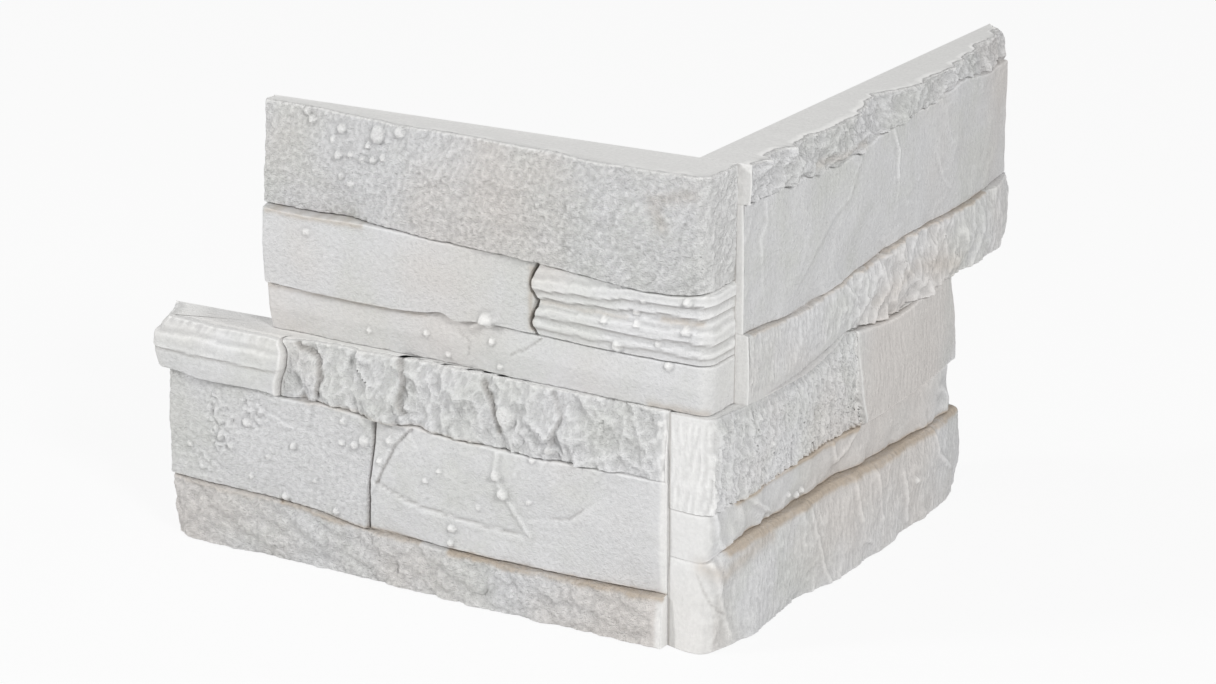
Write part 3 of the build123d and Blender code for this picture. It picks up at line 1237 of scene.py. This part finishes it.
@dataclass(frozen=True)
class Studio:
    """White sweep, soft lamps and the camera at the photograph's angle."""

    camera_place: tuple[float, float, float] = (0.6767, -1.2351, 0.5751)
    azimuth: float = 30.2
    elevation: float = 17.8
    lens: float = 108.53
    floor_size: float = 12.0
    floor_gap: float = 0.0003
    ambient: float = 0.42

    def build(self) -> None:
        """Set up floor, world, lamps, camera and view."""
        self.floor()
        self.world()
        self.lamp("key", (-1.75, -1.5, 1.25), 0.6, 25.0)
        self.lamp("side", (2.1, -1.45, 1.6), 0.7, 42.0)
        self.camera()
        bpy.context.scene.view_settings.view_transform = "Standard"

    def floor(self) -> None:
        """Lay a pale floor that shows white to the camera and keeps a faint shadow."""
        mesh = bpy.data.meshes.new("floor")
        half = self.floor_size / 2
        corners = [(-half, -half, 0), (half, -half, 0), (half, half, 0), (-half, half, 0)]
        mesh.from_pydata(corners, [], [(0, 1, 2, 3)])
        floor = bpy.data.objects.new("floor", mesh)
        floor.location.z = -self.floor_gap
        bpy.context.scene.collection.objects.link(floor)
        paint = bpy.data.materials.new("floor_white")
        paint.use_nodes = True
        graph = Graph(paint.node_tree)
        path = graph.node("ShaderNodeLightPath")
        seen = graph.number(path.outputs["Is Camera Ray"]) + graph.number(path.outputs["Is Glossy Ray"])
        matt = graph.node("ShaderNodeBsdfDiffuse", {}, {"Color": (0.8, 0.8, 0.8, 1.0)})
        white = graph.node("ShaderNodeEmission", {}, {"Color": (1.0, 1.0, 1.0, 1.0), "Strength": 1.0})
        both = graph.node(
            "ShaderNodeMixShader", {}, {0: 0.9 * seen, 1: matt.outputs[0], 2: white.outputs[0]},
        )
        graph.node("ShaderNodeOutputMaterial", {}, {0: both.outputs[0]})
        mesh.materials.append(paint)

    def world(self) -> None:
        """White behind the object, and a plain ambient light on it."""
        world = bpy.data.worlds.new("studio")
        bpy.context.scene.world = world
        world.use_nodes = True
        graph = Graph(world.node_tree)
        path = graph.node("ShaderNodeLightPath")
        seen = graph.number(path.outputs["Is Camera Ray"])
        plain = graph.node("ShaderNodeBackground", {}, {0: (1.0, 1.0, 1.0, 1.0), 1: self.ambient})
        white = graph.node("ShaderNodeBackground", {}, {0: (1.0, 1.0, 1.0, 1.0), 1: 1.0})
        both = graph.node("ShaderNodeMixShader", {}, {0: seen, 1: plain.outputs[0], 2: white.outputs[0]})
        graph.node("ShaderNodeOutputWorld", {}, {0: both.outputs[0]})

    def lamp(self, name: str, place: tuple[float, float, float], size: float, power: float) -> None:
        """Hang a soft lamp that looks at the object's middle."""
        light = bpy.data.lights.new(name, "AREA")
        light.shape = "DISK"
        light.size = size
        light.energy = power
        lamp = bpy.data.objects.new(name, light)
        lamp.location = place
        middle = (Vector(CAD_BOUNDS[0]) + Vector(CAD_BOUNDS[1])) / 2
        lamp.rotation_euler = (middle - lamp.location).to_track_quat("-Z", "Y").to_euler()
        bpy.context.scene.collection.objects.link(lamp)

    def camera(self) -> None:
        """Stand the camera where the photograph was taken from."""
        lens = bpy.data.cameras.new("camera")
        lens.lens = self.lens
        lens.sensor_width = 36.0
        camera = bpy.data.objects.new("camera", lens)
        camera.location = self.camera_place
        camera.rotation_euler = (
            math.radians(90 - self.elevation), 0.0, math.radians(self.azimuth)
        )
        bpy.context.scene.collection.objects.link(camera)
        bpy.context.scene.camera = camera


# The object's own faces


def each(kind: type, *rows: tuple) -> tuple:
    """Make one detail of a kind from each row of its measures."""
    return tuple(kind(*row) for row in rows)


# Textures of the stones, with sizes in millimetres and angles in degrees
SANDSTONE = Skin(
    swell=Pattern(0.9, 26.0), grain=Pattern(0.42, 2.3), crests=Pattern(0.34, 3.2, 1.8, -58.0),
    flakes=Pattern(1.0, 6.0, 1.9, -60.0), meeting=Break.FULL, rough_at=Curve(((120, 1.0), (165, 0.45))),
    grit=1.1,
)
FINE = Skin(swell=Pattern(0.5, 34.0), grain=Pattern(0.12, 2.0), grit=0.5)
# Heights of the strata's ledges at the return's end and at the upright joint, and how far out
STRATA_LEDGES = (
    (150.5, 145.8, -1.0), (145.7, 141.5, 1.1), (140.9, 137.7, 1.2), (138.4, 135.6, -0.8),
    (135.0, 133.4, -1.3), (129.6, 130.1, 0.9), (126.4, 127.4, -0.7), (124.0, 124.6, 0.7),
)
STRATA = Skin(
    swell=Pattern(0.4, 22.0), grain=Pattern(0.12, 1.8),
    ledges=tuple(
        Ledge(Curve(((-22, near), (60, far))), out) for near, far, out in STRATA_LEDGES
    ),
)
SMOOTH = Skin(swell=Pattern(0.7, 32.0), grain=Pattern(0.09, 1.9), grit=0.4)
NOSE = Skin(
    swell=Pattern(0.7, 18.0), grain=Pattern(0.14, 2.2),
    ledges=(Ledge(flat(94.2), -1.4), Ledge(flat(87.0), 0.7)),
)
SPLIT = Skin(
    swell=Pattern(1.3, 20.0), grain=Pattern(0.28, 2.0), flakes=Pattern(4.0, 10.5, 1.5, 62.0),
    splinters=Pattern(1.7, 3.6, 1.5, 70.0), crests=Pattern(0.45, 2.8, 1.6, 70.0), grit=0.9,
)
PITTED = Skin(
    swell=Pattern(0.8, 24.0), grain=Pattern(0.22, 2.0), crests=Pattern(0.22, 4.0), grit=0.8,
)
SLATE = Skin(
    swell=Pattern(0.8, 28.0), grain=Pattern(0.14, 1.9), flakes=Pattern(0.8, 24.0, 1.6, 150.0), grit=0.5,
)
GRANULAR = Skin(
    swell=Pattern(1.0, 20.0), grain=Pattern(0.5, 2.2), flakes=Pattern(1.7, 5.2, 1.5, 30.0),
    meeting=Break.FULL, grit=1.2,
)
HAMMERED = Skin(
    swell=Pattern(0.7, 22.0), grain=Pattern(0.12, 1.9), crests=Pattern(2.2, 3.0, 5.0, 80.0),
    flakes=Pattern(1.4, 6.0, 3.0, 76.0), grit=0.8, brush=1.0,
)
BRUSHED = Skin(
    swell=Pattern(0.6, 24.0), grain=Pattern(0.1, 1.8), crests=Pattern(0.22, 2.3, 7.0, 84.0), brush=0.6,
)
SLOPED = Skin(
    swell=Pattern(0.9, 20.0), grain=Pattern(0.1, 1.8), flakes=Pattern(2.4, 26.0, 1.4, 120.0), brush=0.15,
)
FOOT_ROCK = Skin(
    swell=Pattern(1.2, 24.0), grain=Pattern(0.18, 1.9), flakes=Pattern(2.4, 22.0, 2.0, 70.0),
    crests=Pattern(0.3, 2.4, 6.0, 78.0), brush=0.6,
)
CRUMBLED = Skin(
    swell=Pattern(1.2, 14.0), grain=Pattern(0.3, 1.9), flakes=Pattern(3.8, 8.5, 1.8, 24.0),
    splinters=Pattern(1.9, 3.6, 1.7, 30.0), crests=Pattern(0.6, 2.8, 2.0, 25.0), grit=0.9,
)
FLOWING = Skin(
    swell=Pattern(1.1, 34.0), grain=Pattern(0.07, 1.8), flakes=Pattern(1.1, 26.0, 1.9, 62.0),
    crests=Pattern(0.05, 2.3, 8.0, 80.0), brush=0.2, grit=0.5,
)
FRACTURED = Skin(
    swell=Pattern(0.9, 20.0), grain=Pattern(0.22, 1.9), flakes=Pattern(2.2, 10.0, 1.5, 60.0),
    splinters=Pattern(1.5, 3.6, 2.2, 75.0), crests=Pattern(0.35, 2.4, 4.5, 80.0),
    rough_at=Curve(((60, 0.12), (105, 1.0), (185, 1.0), (225, 0.45))), brush=0.8,
)

# Heights of the bed joints by run; the rows of stones are lettered A to F from the top down
LEFT_DE = Curve(((0, 70.4), (79, 70.4), (104, 71.4), (128, 72.8), (149, 73.3), (169, 75.1),
                 (190, 74.6), (195, 75.9), (213, 76.0), (231, 76.0), (246, 77.2), (258, 77.6)))
LEFT_EF = Curve(((0, 22.0), (50, 21.5), (90, 21.5), (129, 22.4), (146, 22.6), (170, 26.1),
                 (191, 27.6), (249, 27.7)))
LEFT_BC = Curve(((-18, 120.6), (0, 120.5), (40, 120.8), (64, 121.4), (93, 122.0), (106, 121.0),
                 (110, 122.8), (119, 121.6), (206, 121.2)))
# How deep the joint under the ledged row is; it almost closes near its middle
LEFT_BC_GROOVE = Curve(((-18, 0.9), (60, 1.0), (75, 0.8), (90, 0.4), (106, 0.8), (110, 1.6),
                        (206, 2.0)))
LEFT_AB = Curve(((-18, 152.0), (-10, 149.9), (8, 148.8), (26, 150.0), (45, 151.4), (66, 153.2),
                 (90, 153.9), (114, 154.6), (131, 155.5), (152, 156.1), (183, 155.3), (206, 155.6)))
RIGHT_DE = Curve(((-45, 57.4), (-24, 59.4), (-16, 60.4), (0, 60.4), (31, 61.0), (52, 61.4), (78, 61.2),
                  (105, 60.6), (140, 60.4), (178, 60.6), (213, 59.6)))
RIGHT_EF = Curve(((-45, 36.0), (-24, 39.0), (-14, 42.2), (6, 43.4), (37, 42.8), (75, 42.8), (115, 41.4),
                  (150, 40.0), (197, 37.8), (226, 37.0)))
RIGHT_CD = Curve(((-25, 100), (49, 100.0), (72, 102.2), (90, 105.0), (110, 102.5), (129, 100.2),
                  (149, 100.2), (162, 101.4), (193, 102.8), (213, 102.6), (281, 103.0)))
RIGHT_BC = Curve(((0, 129.2), (13, 128.7), (49, 126.0), (90, 128.2), (113, 129.5), (142, 133.4),
                  (172, 133.4), (203, 133.4), (249, 134.4), (275, 135.0)))
RIGHT_AB = Curve(((0, 183.0), (20, 182.2), (47, 182.3), (83, 180.6), (120, 183.6), (149, 186.6),
                  (175, 186.8), (200, 190.0), (215, 189.6), (238, 186.8), (255, 186.8), (275, 187.4)))

OPEN_EDGE = Joint(flat(0.0), flat(1.2), 0.8, edge=True)
TOP_EDGE = Joint(flat(TOP), flat(1.2), 0.9, edge=True)
MIDDLE = Joint(flat(COURSE_HEIGHT), flat(1.2), 1.0, edge=True)
RIGHT_MIDDLE = Joint(
    RIGHT_CD, Curve(((0, 0.3), (6, 0.02), (92, 0.02), (98, 1.8), (148, 2.0), (160, 0.8))), 0.9,
    blend=Curve(((0, 1.0), (86, 1.0), (98, 0.0))),
)

# Rows and courses; a stone's depths run from its foot to its head at some runs, in millimetres
LEFT_GRANULAR_ROW = Band(
    stones=(Stone((
        (0, (30.0, 29.4, 28.2)), (28, (29.4, 29.0, 28.2)), (77, (29.0, 28.2, 27.4)),
        (118, (26.8, 26.6, 26.0)), (172, (23.6, 25.4, 25.4)), (204, (23.0, 25.0, 25.0)),
        (240, (22.4, 23.6, 23.0)), (252, (17.0, 20.0, 20.0)),
    ), GRANULAR, 0.75),),
    head=Joint(LEFT_EF, flat(0.7), 0.4, Curve(((0, 2.2), (100, 1.8), (130, 1.0), (258, 0.8)))),
    ends=((0, 256.0), (0.5, 257.3), (1, 257.6)),
    far_round=4.0,
    slant=5.0,
)
LEFT_SLATE_ROW = Band(
    stones=(
        Stone((
            (0, (25.0, 26.6, 25.4)), (30, (25.6, 26.8, 25.6)), (80, (25.4, 26.2, 25.2)),
            (120, (24.6, 25.6, 24.6)), (145, (24.0, 25.0, 24.2)),
        ), SLATE, 0.6),
        Stone((
            (141, (24.8, 25.6, 24.8)), (180, (24.6, 25.4, 24.6)), (225, (23.0, 24.0, 23.2)),
            (252, (20.0, 21.0, 20.4)),
        ), PITTED, 0.45),
    ),
    uprights=(Upright(Curve(((22, 146.4), (40, 144.6), (60, 142.6), (74, 141.4))), 2.4, 0.5, 0.6),),
    head=Joint(LEFT_DE, Curve(((0, 0.5), (30, 0.8), (60, 1.3), (258, 1.4)))),
    ends=((0, 257.8), (0.5, 257.4), (1, 256.4)),
    slant=4.5,
)
LEFT_SPLIT_ROW = Band(
    stones=(
        Stone((
            (0, (25.8, 26.0, 24.6, 22.8)), (30, (26.4, 26.4, 25.2, 22.2)),
            (62, (26.6, 26.4, 24.8, 21.4)), (84, (27.4, 26.8, 24.8, 20.4)),
            (110, (26.4, 25.8, 23.4, 19.2)), (135, (26.6, 25.4, 23.0, 18.6)),
            (165, (25.6, 25.4, 23.4, 19.4)), (181, (24.0, 24.2, 23.6, 21.6)),
            (190, (23.6, 24.0, 23.8, 22.6)),
        ), SPLIT, 0.4),
        Stone((
            (190, (26.6, 27.6, 27.4, 24.6)), (230, (26.4, 27.2, 26.8, 23.4)),
            (254, (24.0, 25.4, 24.8, 20.4)),
        ), NOSE, 0.35),
    ),
    uprights=(Upright(
        Curve(((74, 190.6), (80, 190.2), (90, 187.0), (96, 187.4), (100, 190.4))), 0.6, 0.5,
        calm=9.0, wall_cast_and_light=1.0,
    ),),
    head=Joint(flat(COURSE_HEIGHT), flat(1.2), 1.4, Curve(((186, 0.0), (194, 2.4))), edge=True),
    ends=((0, 262.6), (0.3, 263.6), (0.7, 263.4), (1, 261.8)),
    far_round=6.0,
    slant=6.5,
)
LEFT_LOWER = Course(
    foot=OPEN_EDGE,
    near=0.15,
    near_round=0.9,
    fade=9.0,
    strip=3.4,
    bands=(LEFT_GRANULAR_ROW, LEFT_SLATE_ROW, LEFT_SPLIT_ROW),
    patches=each(
        Patch,
        (222.0, 62.0, 10.0, 1.4, 2.4), (206.0, 65.0, 9.0, 1.2, 2.4),
        (222.0, 49.0, 9.0, 1.3, 2.4), (230.0, 36.0, 8.0, 0.9, 2.4), (100.0, 88.0, 14.0, 0.5),
    ),
    beads=each(
        Bead,
        (146.7, 62.4, 2.6, 0.7), (156.9, 69.3, 1.6), (151.8, 59.7, 1.7), (157.9, 59.7, 1.5),
        (182.8, 53.9, 1.7), (207.7, 59.8, 2.1), (221.4, 51.9, 1.7), (216.3, 47.7, 1.4),
        (188.2, 29.9, 1.9), (161.8, 28.0, 1.6), (133.9, 64.8, 1.9), (138.9, 54.9, 1.6),
        (116.0, 50.4, 1.4), (80.6, 59.3, 2.2), (77.7, 51.5, 2.5), (63.4, 69.2, 1.6),
        (103.3, 31.4, 2.0), (108.9, 55.9, 1.3), (65.1, 50.2, 1.3), (77.3, 84.5, 5.0, 0.55),
        (54.9, 74.6, 2.0), (104.0, 24.5, 1.6), (90.0, 43.0, 1.1), (206.0, 36.0, 1.3),
        (4.5, 94.0, 1.5), (240.0, 44.0, 1.5), (196.0, 47.0, 1.3), (172.0, 40.0, 1.2),
    ),
    veins=each(
        Vein,
        (((123.4, 71.4), (131.0, 63.4), (136.3, 53.5), (140.5, 45.0)), 0.4, -0.8, 0.7, 10),
        (((140.5, 45.0), (129.0, 40.2), (109.0, 37.4), (88.0, 35.6), (72.0, 34.4)), 0.4, -0.6, 0.7, 10),
        (((80.2, 69.0), (80.9, 59.4), (76.3, 50.4), (70.9, 42.8), (64.9, 35.3)), 1.1, 1.0),
        (((55.3, 44.5), (46.0, 46.2), (39.3, 51.2)), 0.4, -0.5, 0.4),
        (((199.1, 67.2), (185.2, 62.9), (174.3, 62.0), (171.4, 57.2), (162.4, 47.9)), 0.5, 0.4, 0.4, 6),
        (((182.5, 99.0), (172.5, 94.0), (169.5, 86.0), (171.6, 78.0)), 0.6, -1.2, 2.2, 9),
        (((132.0, 99.0), (128.0, 92.0), (130.0, 84.0), (127.0, 78.0)), 0.6, -1.0, 2.4, 9),
        (((90.2, 97.0), (86.0, 90.0), (80.0, 78.0)), 1.0, -1.2, 0.8, 8),
        (((56.0, 98.0), (50.0, 90.0), (54.0, 78.0)), 0.6, -0.6, 1.6, 8),
    ),
    stains=each(
        Stain,
        (((0, 21.2), (60, 20.7), (90, 20.8), (104, 21.2)), 1.3, 1.2),
        (((120, 21.8), (150, 23.2), (190, 27.0)), 1.1, 0.8),
        (((190, 27.0), (250, 27.2)), 1.0, 0.35),
        (((90, 71.0), (130, 73.2), (180, 75.4)), 1.0, 0.35),
    ),
)

LEFT_SMOOTH_ROW = Band(
    stones=(Stone((
        (-18, (22.6, 23.0, 21.0)), (3, (21.8, 22.6, 21.0)), (34, (20.8, 21.8, 20.4)),
        (74, (18.0, 19.4, 19.0)), (115, (14.4, 16.6, 16.6)), (167, (12.6, 14.8, 14.8)),
        (204, (11.0, 13.0, 13.2)),
    ), SMOOTH, 0.55),),
    head=Joint(LEFT_BC, LEFT_BC_GROOVE),
    ends=((0, 204.0), (1, 204.8)),
    slant=1.0,
)
LEFT_STRATA_ROW = Band(
    stones=(
        Stone((
            (-18, (22.4, 23.2, 23.4, 22.6)), (20, (22.4, 23.4, 23.6, 22.8)),
            (45, (21.6, 22.8, 23.2, 22.4)), (64, (20.8, 22.0, 22.6, 21.8)),
        ), STRATA, 0.6),
        Stone((
            (66, (20.8, 21.4, 21.0)), (110, (20.0, 20.8, 20.6)), (160, (18.0, 19.2, 19.4)),
            (204, (15.4, 16.8, 16.4)),
        ), FINE, 0.4),
    ),
    uprights=(Upright(Curve(((121, 63.4), (127, 66.2), (131, 64.7), (136.7, 62.8), (141, 65.0),
                             (146, 65.4), (152, 62.4))), 3.4, 0.6, 1.0),),
    head=Joint(LEFT_AB, Curve(((-18, 1.3), (60, 1.4), (140, 1.1), (206, 1.0)))),
    ends=((0, 208.0), (1, 207.4)),
    slant=4.5,
)
LEFT_SANDSTONE_ROW = Band(
    stones=(Stone((
        (-18, (23.0, 25.0, 26.0, 26.2)), (10, (24.6, 26.4, 27.0, 26.8)),
        (31, (24.4, 26.0, 26.6, 26.0)), (62, (23.2, 24.8, 24.2, 20.6)),
        (79, (22.6, 24.2, 23.4, 19.2)), (102, (21.4, 22.4, 21.2, 17.2)),
        (131, (19.6, 20.0, 19.0, 16.4)), (144, (18.2, 18.8, 17.2, 14.0)),
        (158, (13.8, 17.0, 15.4, 12.2)), (176, (12.2, 14.2, 12.6, 8.8)),
        (204, (10.8, 11.4, 9.8, 7.0)),
    ), SANDSTONE, 0.5),),
    head=TOP_EDGE,
    ends=((0, 204.4), (0.6, 203.8), (1, 205.6)),
    far_round=1.6,
    slant=0.0,
)
LEFT_UPPER = Course(
    foot=MIDDLE,
    near=-17.2,
    near_round=5.5,
    end_cast=0.5,
    bands=(LEFT_SMOOTH_ROW, LEFT_STRATA_ROW, LEFT_SANDSTONE_ROW),
    beads=each(
        Bead,
        (182.2, 198.2, 2.0), (179.2, 195.0, 1.9), (162.2, 194.0, 2.3), (142.5, 194.6, 4.0, 0.75),
        (130.9, 197.0, 2.6, 0.7), (166.9, 188.8, 1.6), (163.1, 182.9, 2.0), (156.3, 184.1, 1.5),
        (149.8, 183.0, 1.6), (144.3, 183.6, 1.6), (138.8, 185.3, 1.6), (147.4, 189.2, 1.5),
        (160.7, 174.5, 1.7), (155.7, 171.8, 1.6), (178.6, 148.0, 1.5), (86.5, 114.5, 1.6),
        (-8.3, 147.2, 2.0), (-7.6, 135.2, 2.1), (30.3, 134.1, 1.7), (15.3, 134.8, 1.6),
        (15.9, 139.1, 1.5), (24.9, 123.4, 2.4, 0.8), (1.5, 118.9, 1.8), (5.7, 127.6, 1.5),
        (12.0, 145.0, 1.2), (120.0, 112.0, 1.4), (83.0, 104.0, 1.4), (60.0, 178.0, 1.2),
        (88.0, 123.6, 3.6, 0.7), (110.0, 104.0, 1.3), (150.0, 108.0, 1.2),
    ),
    patches=(Patch(112.0, 184.0, 20.0, 0.5, 2.2), Patch(56.0, 174.0, 22.0, 0.5, 2.2)),
    veins=each(
        Vein,
        (((76.4, 111.0), (70.0, 114.0), (61.9, 120.0)), 0.35, -0.5),
        (((96.0, 119.0), (90.8, 122.6), (84.0, 124.6)), 1.6, 0.9),
        (((104.0, 117.0), (98.0, 112.0), (99.0, 106.0)), 0.35, -0.4),
    ),
    stains=each(
        Stain,
        (((200, 154.2), (181, 154.0), (150, 154.8)), 1.2, 0.6),
        (((-16, 138.8), (4, 138.0)), 1.2, 0.7),
        (((-12, 192.0), (6, 188.0), (2, 178.0)), 3.0, 0.3),
        (((206, 120.0), (120, 120.0)), 1.2, 0.4),
        (((66, 124.0), (65.5, 150.0)), 1.3, 0.55),
        (((-18, 101.0), (10, 101.0)), 2.0, 0.5),
        (((20, 136.4), (60, 136.4)), 0.8, 0.35),
    ),
)

RIGHT_FOOT_ROW = Band(
    stones=(Stone((
        (-24, (19.6, 20.6, 20.2)), (-8, (24.2, 24.4, 23.4)), (4, (26.6, 26.2, 24.8)),
        (22, (25.0, 25.6, 25.0)), (50, (23.0, 24.8, 25.0)), (76, (27.4, 27.0, 26.2)),
        (108, (28.6, 28.2, 27.0)), (132, (28.2, 27.6, 26.8)), (182, (25.8, 25.6, 24.8)),
        (216, (19.0, 19.6, 19.0)),
    ), FOOT_ROCK, 0.55),),
    head=Joint(RIGHT_EF, flat(0.4), 0.3, flat(3.0)),
    ends=((0, 224.0), (0.3, 228.4), (0.7, 227.4), (1, 223.0)),
    far_round=6.0,
    slant=8.0,
)
RIGHT_SLOPED_ROW = Band(
    stones=(Stone((
        (-24, (19.8, 20.2, 20.0)), (4, (20.4, 21.8, 22.4)), (30, (20.2, 21.8, 22.8)),
        (60, (20.0, 21.8, 23.0)), (98, (21.2, 22.2, 22.8)), (120, (21.6, 22.4, 22.0)),
        (180, (21.2, 21.2, 20.0)), (206, (18.2, 18.0, 17.4)),
    ), SLOPED, 0.5),),
    head=Joint(RIGHT_DE, flat(0.6), 0.4, flat(1.0)),
    ends=((0, 211.4), (0.5, 211.0), (1, 213.0)),
    far_round=4.0,
    slant=6.5,
)
RIGHT_HAMMERED_ROW = Band(
    stones=(
        Stone((
            (-24, (20.6, 20.8, 20.2)), (10, (21.0, 22.4, 22.4)), (60, (20.8, 21.8, 21.4)),
            (102, (20.2, 21.0, 20.8)),
        ), HAMMERED, 0.45),
        Stone((
            (102, (25.0, 24.4, 22.4)), (160, (23.2, 23.2, 21.4)), (190, (20.6, 20.8, 19.4)),
            (208, (18.0, 18.2, 17.0)),
        ), BRUSHED, 0.6),
    ),
    uprights=(Upright(
        Curve(((60, 106.4), (72, 101.9), (82, 99.8), (102, 98.5))), 0.3, 0.4, wall_cast_and_light=1.0,
    ),),
    head=RIGHT_MIDDLE,
    ends=((0, 219.5), (0.35, 217.0), (1, 212.4)),
    far_round=4.0,
    slant=6.5,
)
RIGHT_LOWER = Course(
    foot=OPEN_EDGE,
    near=-24.3,
    near_round=5.0,
    end_cast=0.7,
    end_calm=0.2,
    end_swell=3.2,
    bands=(RIGHT_FOOT_ROW, RIGHT_SLOPED_ROW, RIGHT_HAMMERED_ROW),
    beads=each(
        Bead,
        (53.6, 46.1, 1.6), (49.8, 45.1, 1.5), (40.2, 48.6, 1.4), (-16.0, 88.0, 1.3),
        (18.0, 78.0, 1.5), (34.0, 70.0, 1.4), (66.0, 86.0, 1.4), (150.0, 22.0, 1.6),
    ),
    veins=each(
        Vein,
        (((-22.3, 37.8), (-16.0, 20.0), (-10.5, 4.0)), 1.6, 0.7, -0.8, 8),
        (((54.8, 38.0), (62.1, 15.7), (69.1, 2.0)), 1.6, 1.1, -0.9, 10),
        (((92.6, 36.0), (96.7, 20.2)), 1.5, 1.0, 1.0, 10),
        (((112.9, 36.0), (117.4, 15.2)), 1.6, 1.0, -0.9, 10),
        (((140, 28.0), (144.0, 4.7)), 1.5, 0.9, 0.8, 10),
        (((174.6, 36.6), (177.2, 25.9), (190.7, 15.9)), 1.8, 1.2, -1.2, 12),
        (((-19.5, 61.0), (-19.2, 50.0)), 1.5, 1.0, 0.8, 8),
        (((9.1, 55.3), (16.0, 51.0), (23.1, 47.0)), 0.8, 0.8, 0.9, 8),
        (((78.4, 59.0), (82.0, 51.0)), 1.5, 1.2, 0.7, 8),
        (((103.2, 60.4), (94.0, 54.0), (85.3, 50.0)), 1.5, 1.1, -0.9, 10),
        (((-30.0, 34.0), (-24.0, 22.0), (-14.0, 14.0)), 0.35, -0.5),
    ),
    stains=each(
        Stain,
        (((-12, 40.8), (6, 41.8), (40, 41.2), (75, 41.4), (110, 40.2), (150, 38.8), (213, 36.2)), 1.8, 1.3),
        (((-12, 42.0), (6, 43.2), (40, 42.6), (75, 42.6), (110, 41.2), (150, 39.8), (213, 37.2)), 0.7, 1.6),
        (((-4, 59.6), (14, 60.0), (31, 60.2), (52, 60.6), (78, 60.4), (104, 59.8)), 1.3, 1.4),
        (((-28, 38.0), (-16, 32.0), (0, 36.0), (20, 38.0)), 3.5, 0.5),
    ),
)

RIGHT_FRACTURED_ROW = Band(
    stones=(Stone((
        (0, (23.0, 23.4, 22.6)), (30, (22.6, 22.8, 21.6)), (72, (21.2, 22.4, 21.0)),
        (120, (20.6, 23.6, 22.0)), (165, (22.0, 24.4, 22.6)), (215, (22.6, 24.6, 22.8)),
        (245, (20.6, 22.2, 20.6)), (268, (15.0, 17.0, 15.6)),
    ), FRACTURED, 0.55),),
    head=Joint(RIGHT_BC, flat(0.5), 0.3, flat(0.9)),
    ends=((0, 277.0), (0.3, 280.6), (0.75, 280.4), (1, 276.0)),
    far_round=7.0,
    slant=9.0,
)
RIGHT_FLOWING_ROW = Band(
    stones=(Stone((
        (0, (20.3, 20.3, 19.8)), (50, (20.4, 21.2, 20.2)), (110, (20.6, 21.6, 20.8)),
        (165, (21.0, 21.8, 20.8)), (220, (19.4, 20.4, 19.4)), (262, (15.4, 16.2, 15.4)),
    ), FLOWING, 0.5),),
    head=Joint(RIGHT_AB, flat(0.7), 0.5, ragged=1.1),
    ends=((0, 269.4), (0.5, 269.8), (1, 271.0)),
    far_round=3.6,
    slant=4.5,
)
RIGHT_CRUMBLED_ROW = Band(
    stones=(Stone((
        (0, (22.8, 23.6, 23.4)), (30, (22.4, 23.4, 22.4)), (70, (23.6, 26.4, 26.6)),
        (102, (22.6, 23.6, 22.8)), (122, (20.8, 18.6, 15.6)), (153, (22.2, 24.0, 23.2)),
        (188, (21.6, 22.6, 21.4)), (225, (19.6, 19.0, 16.8)), (250, (16.6, 14.6, 11.6)),
        (268, (13.6, 10.4, 7.4)),
    ), CRUMBLED, 0.45),),
    head=TOP_EDGE,
    ends=((0, 276.4), (0.5, 278.0), (1, 275.6)),
    far_round=3.0,
    slant=3.5,
)
RIGHT_UPPER = Course(
    foot=RIGHT_MIDDLE,
    near=0.15,
    near_round=0.9,
    bands=(RIGHT_FRACTURED_ROW, RIGHT_FLOWING_ROW, RIGHT_CRUMBLED_ROW),
    veins=each(
        Vein,
        (((133.8, 184.0), (139.0, 173.8), (138.2, 162.0)), 0.7, 0.9, 0.5, 14),
        (((104.0, 180.0), (92.1, 165.2), (76.2, 158.0), (61.9, 150.5), (53.5, 142.0)), 1.6, 0.3, -0.6, 16),
        (((20.1, 180.0), (20.3, 171.7), (13.7, 165.4), (15.0, 156.0)), 0.9, 0.35, 0.6, 12),
        (((178.1, 160.5), (185.3, 150.1), (192.0, 145.0)), 1.2, 0.3, 0.4, 8),
        (((90.3, 127.0), (99.8, 118.5), (104.0, 108.0)), 1.4, 1.0, -1.2, 8),
        (((201.7, 122.8), (205.7, 114.4)), 2.6, 1.6),
        (((139.6, 125.3), (150.0, 116.0), (159.8, 108.5)), 1.4, 0.8, 1.2, 9),
    ),
    stains=each(
        Stain,
        (((112, 129.0), (142, 132.8), (172, 132.9), (203, 132.9), (230, 133.8)), 0.9, 0.8),
        (((4, 128.8), (49, 125.6), (90, 127.6), (112, 128.8)), 0.9, 0.6),
        (((120, 112.0), (160, 118.0), (200, 108.0)), 4.0, 0.3),
        (((60, 186.0), (110, 185.0)), 2.0, 0.3),
    ),
)


def main() -> None:
    """Build both castings and the studio in order."""
    logging.basicConfig(level=logging.INFO, format="%(message)s")
    castings = (
        Casting(
            name="left_casting_skin", node="left_wing_slip", slot="left_casting",
            lower=LEFT_LOWER, upper=LEFT_UPPER, plan=Plan(shared_run=203.0), upper_longer=False,
            turned=False, shift=0.0,
        ),
        Casting(
            name="right_casting_skin", node="right_wing_slip", slot="right_casting",
            lower=RIGHT_LOWER, upper=RIGHT_UPPER, plan=Plan(shared_run=210.0), upper_longer=True,
            turned=True, shift=71.0,
        ),
    )
    stone = CastStone()
    for casting in castings:
        piece = casting.build()
        casting.dress(piece, stone)
        LOG.info("built %s", casting.name)
    Studio().build()


if __name__ == "__main__":
    main()
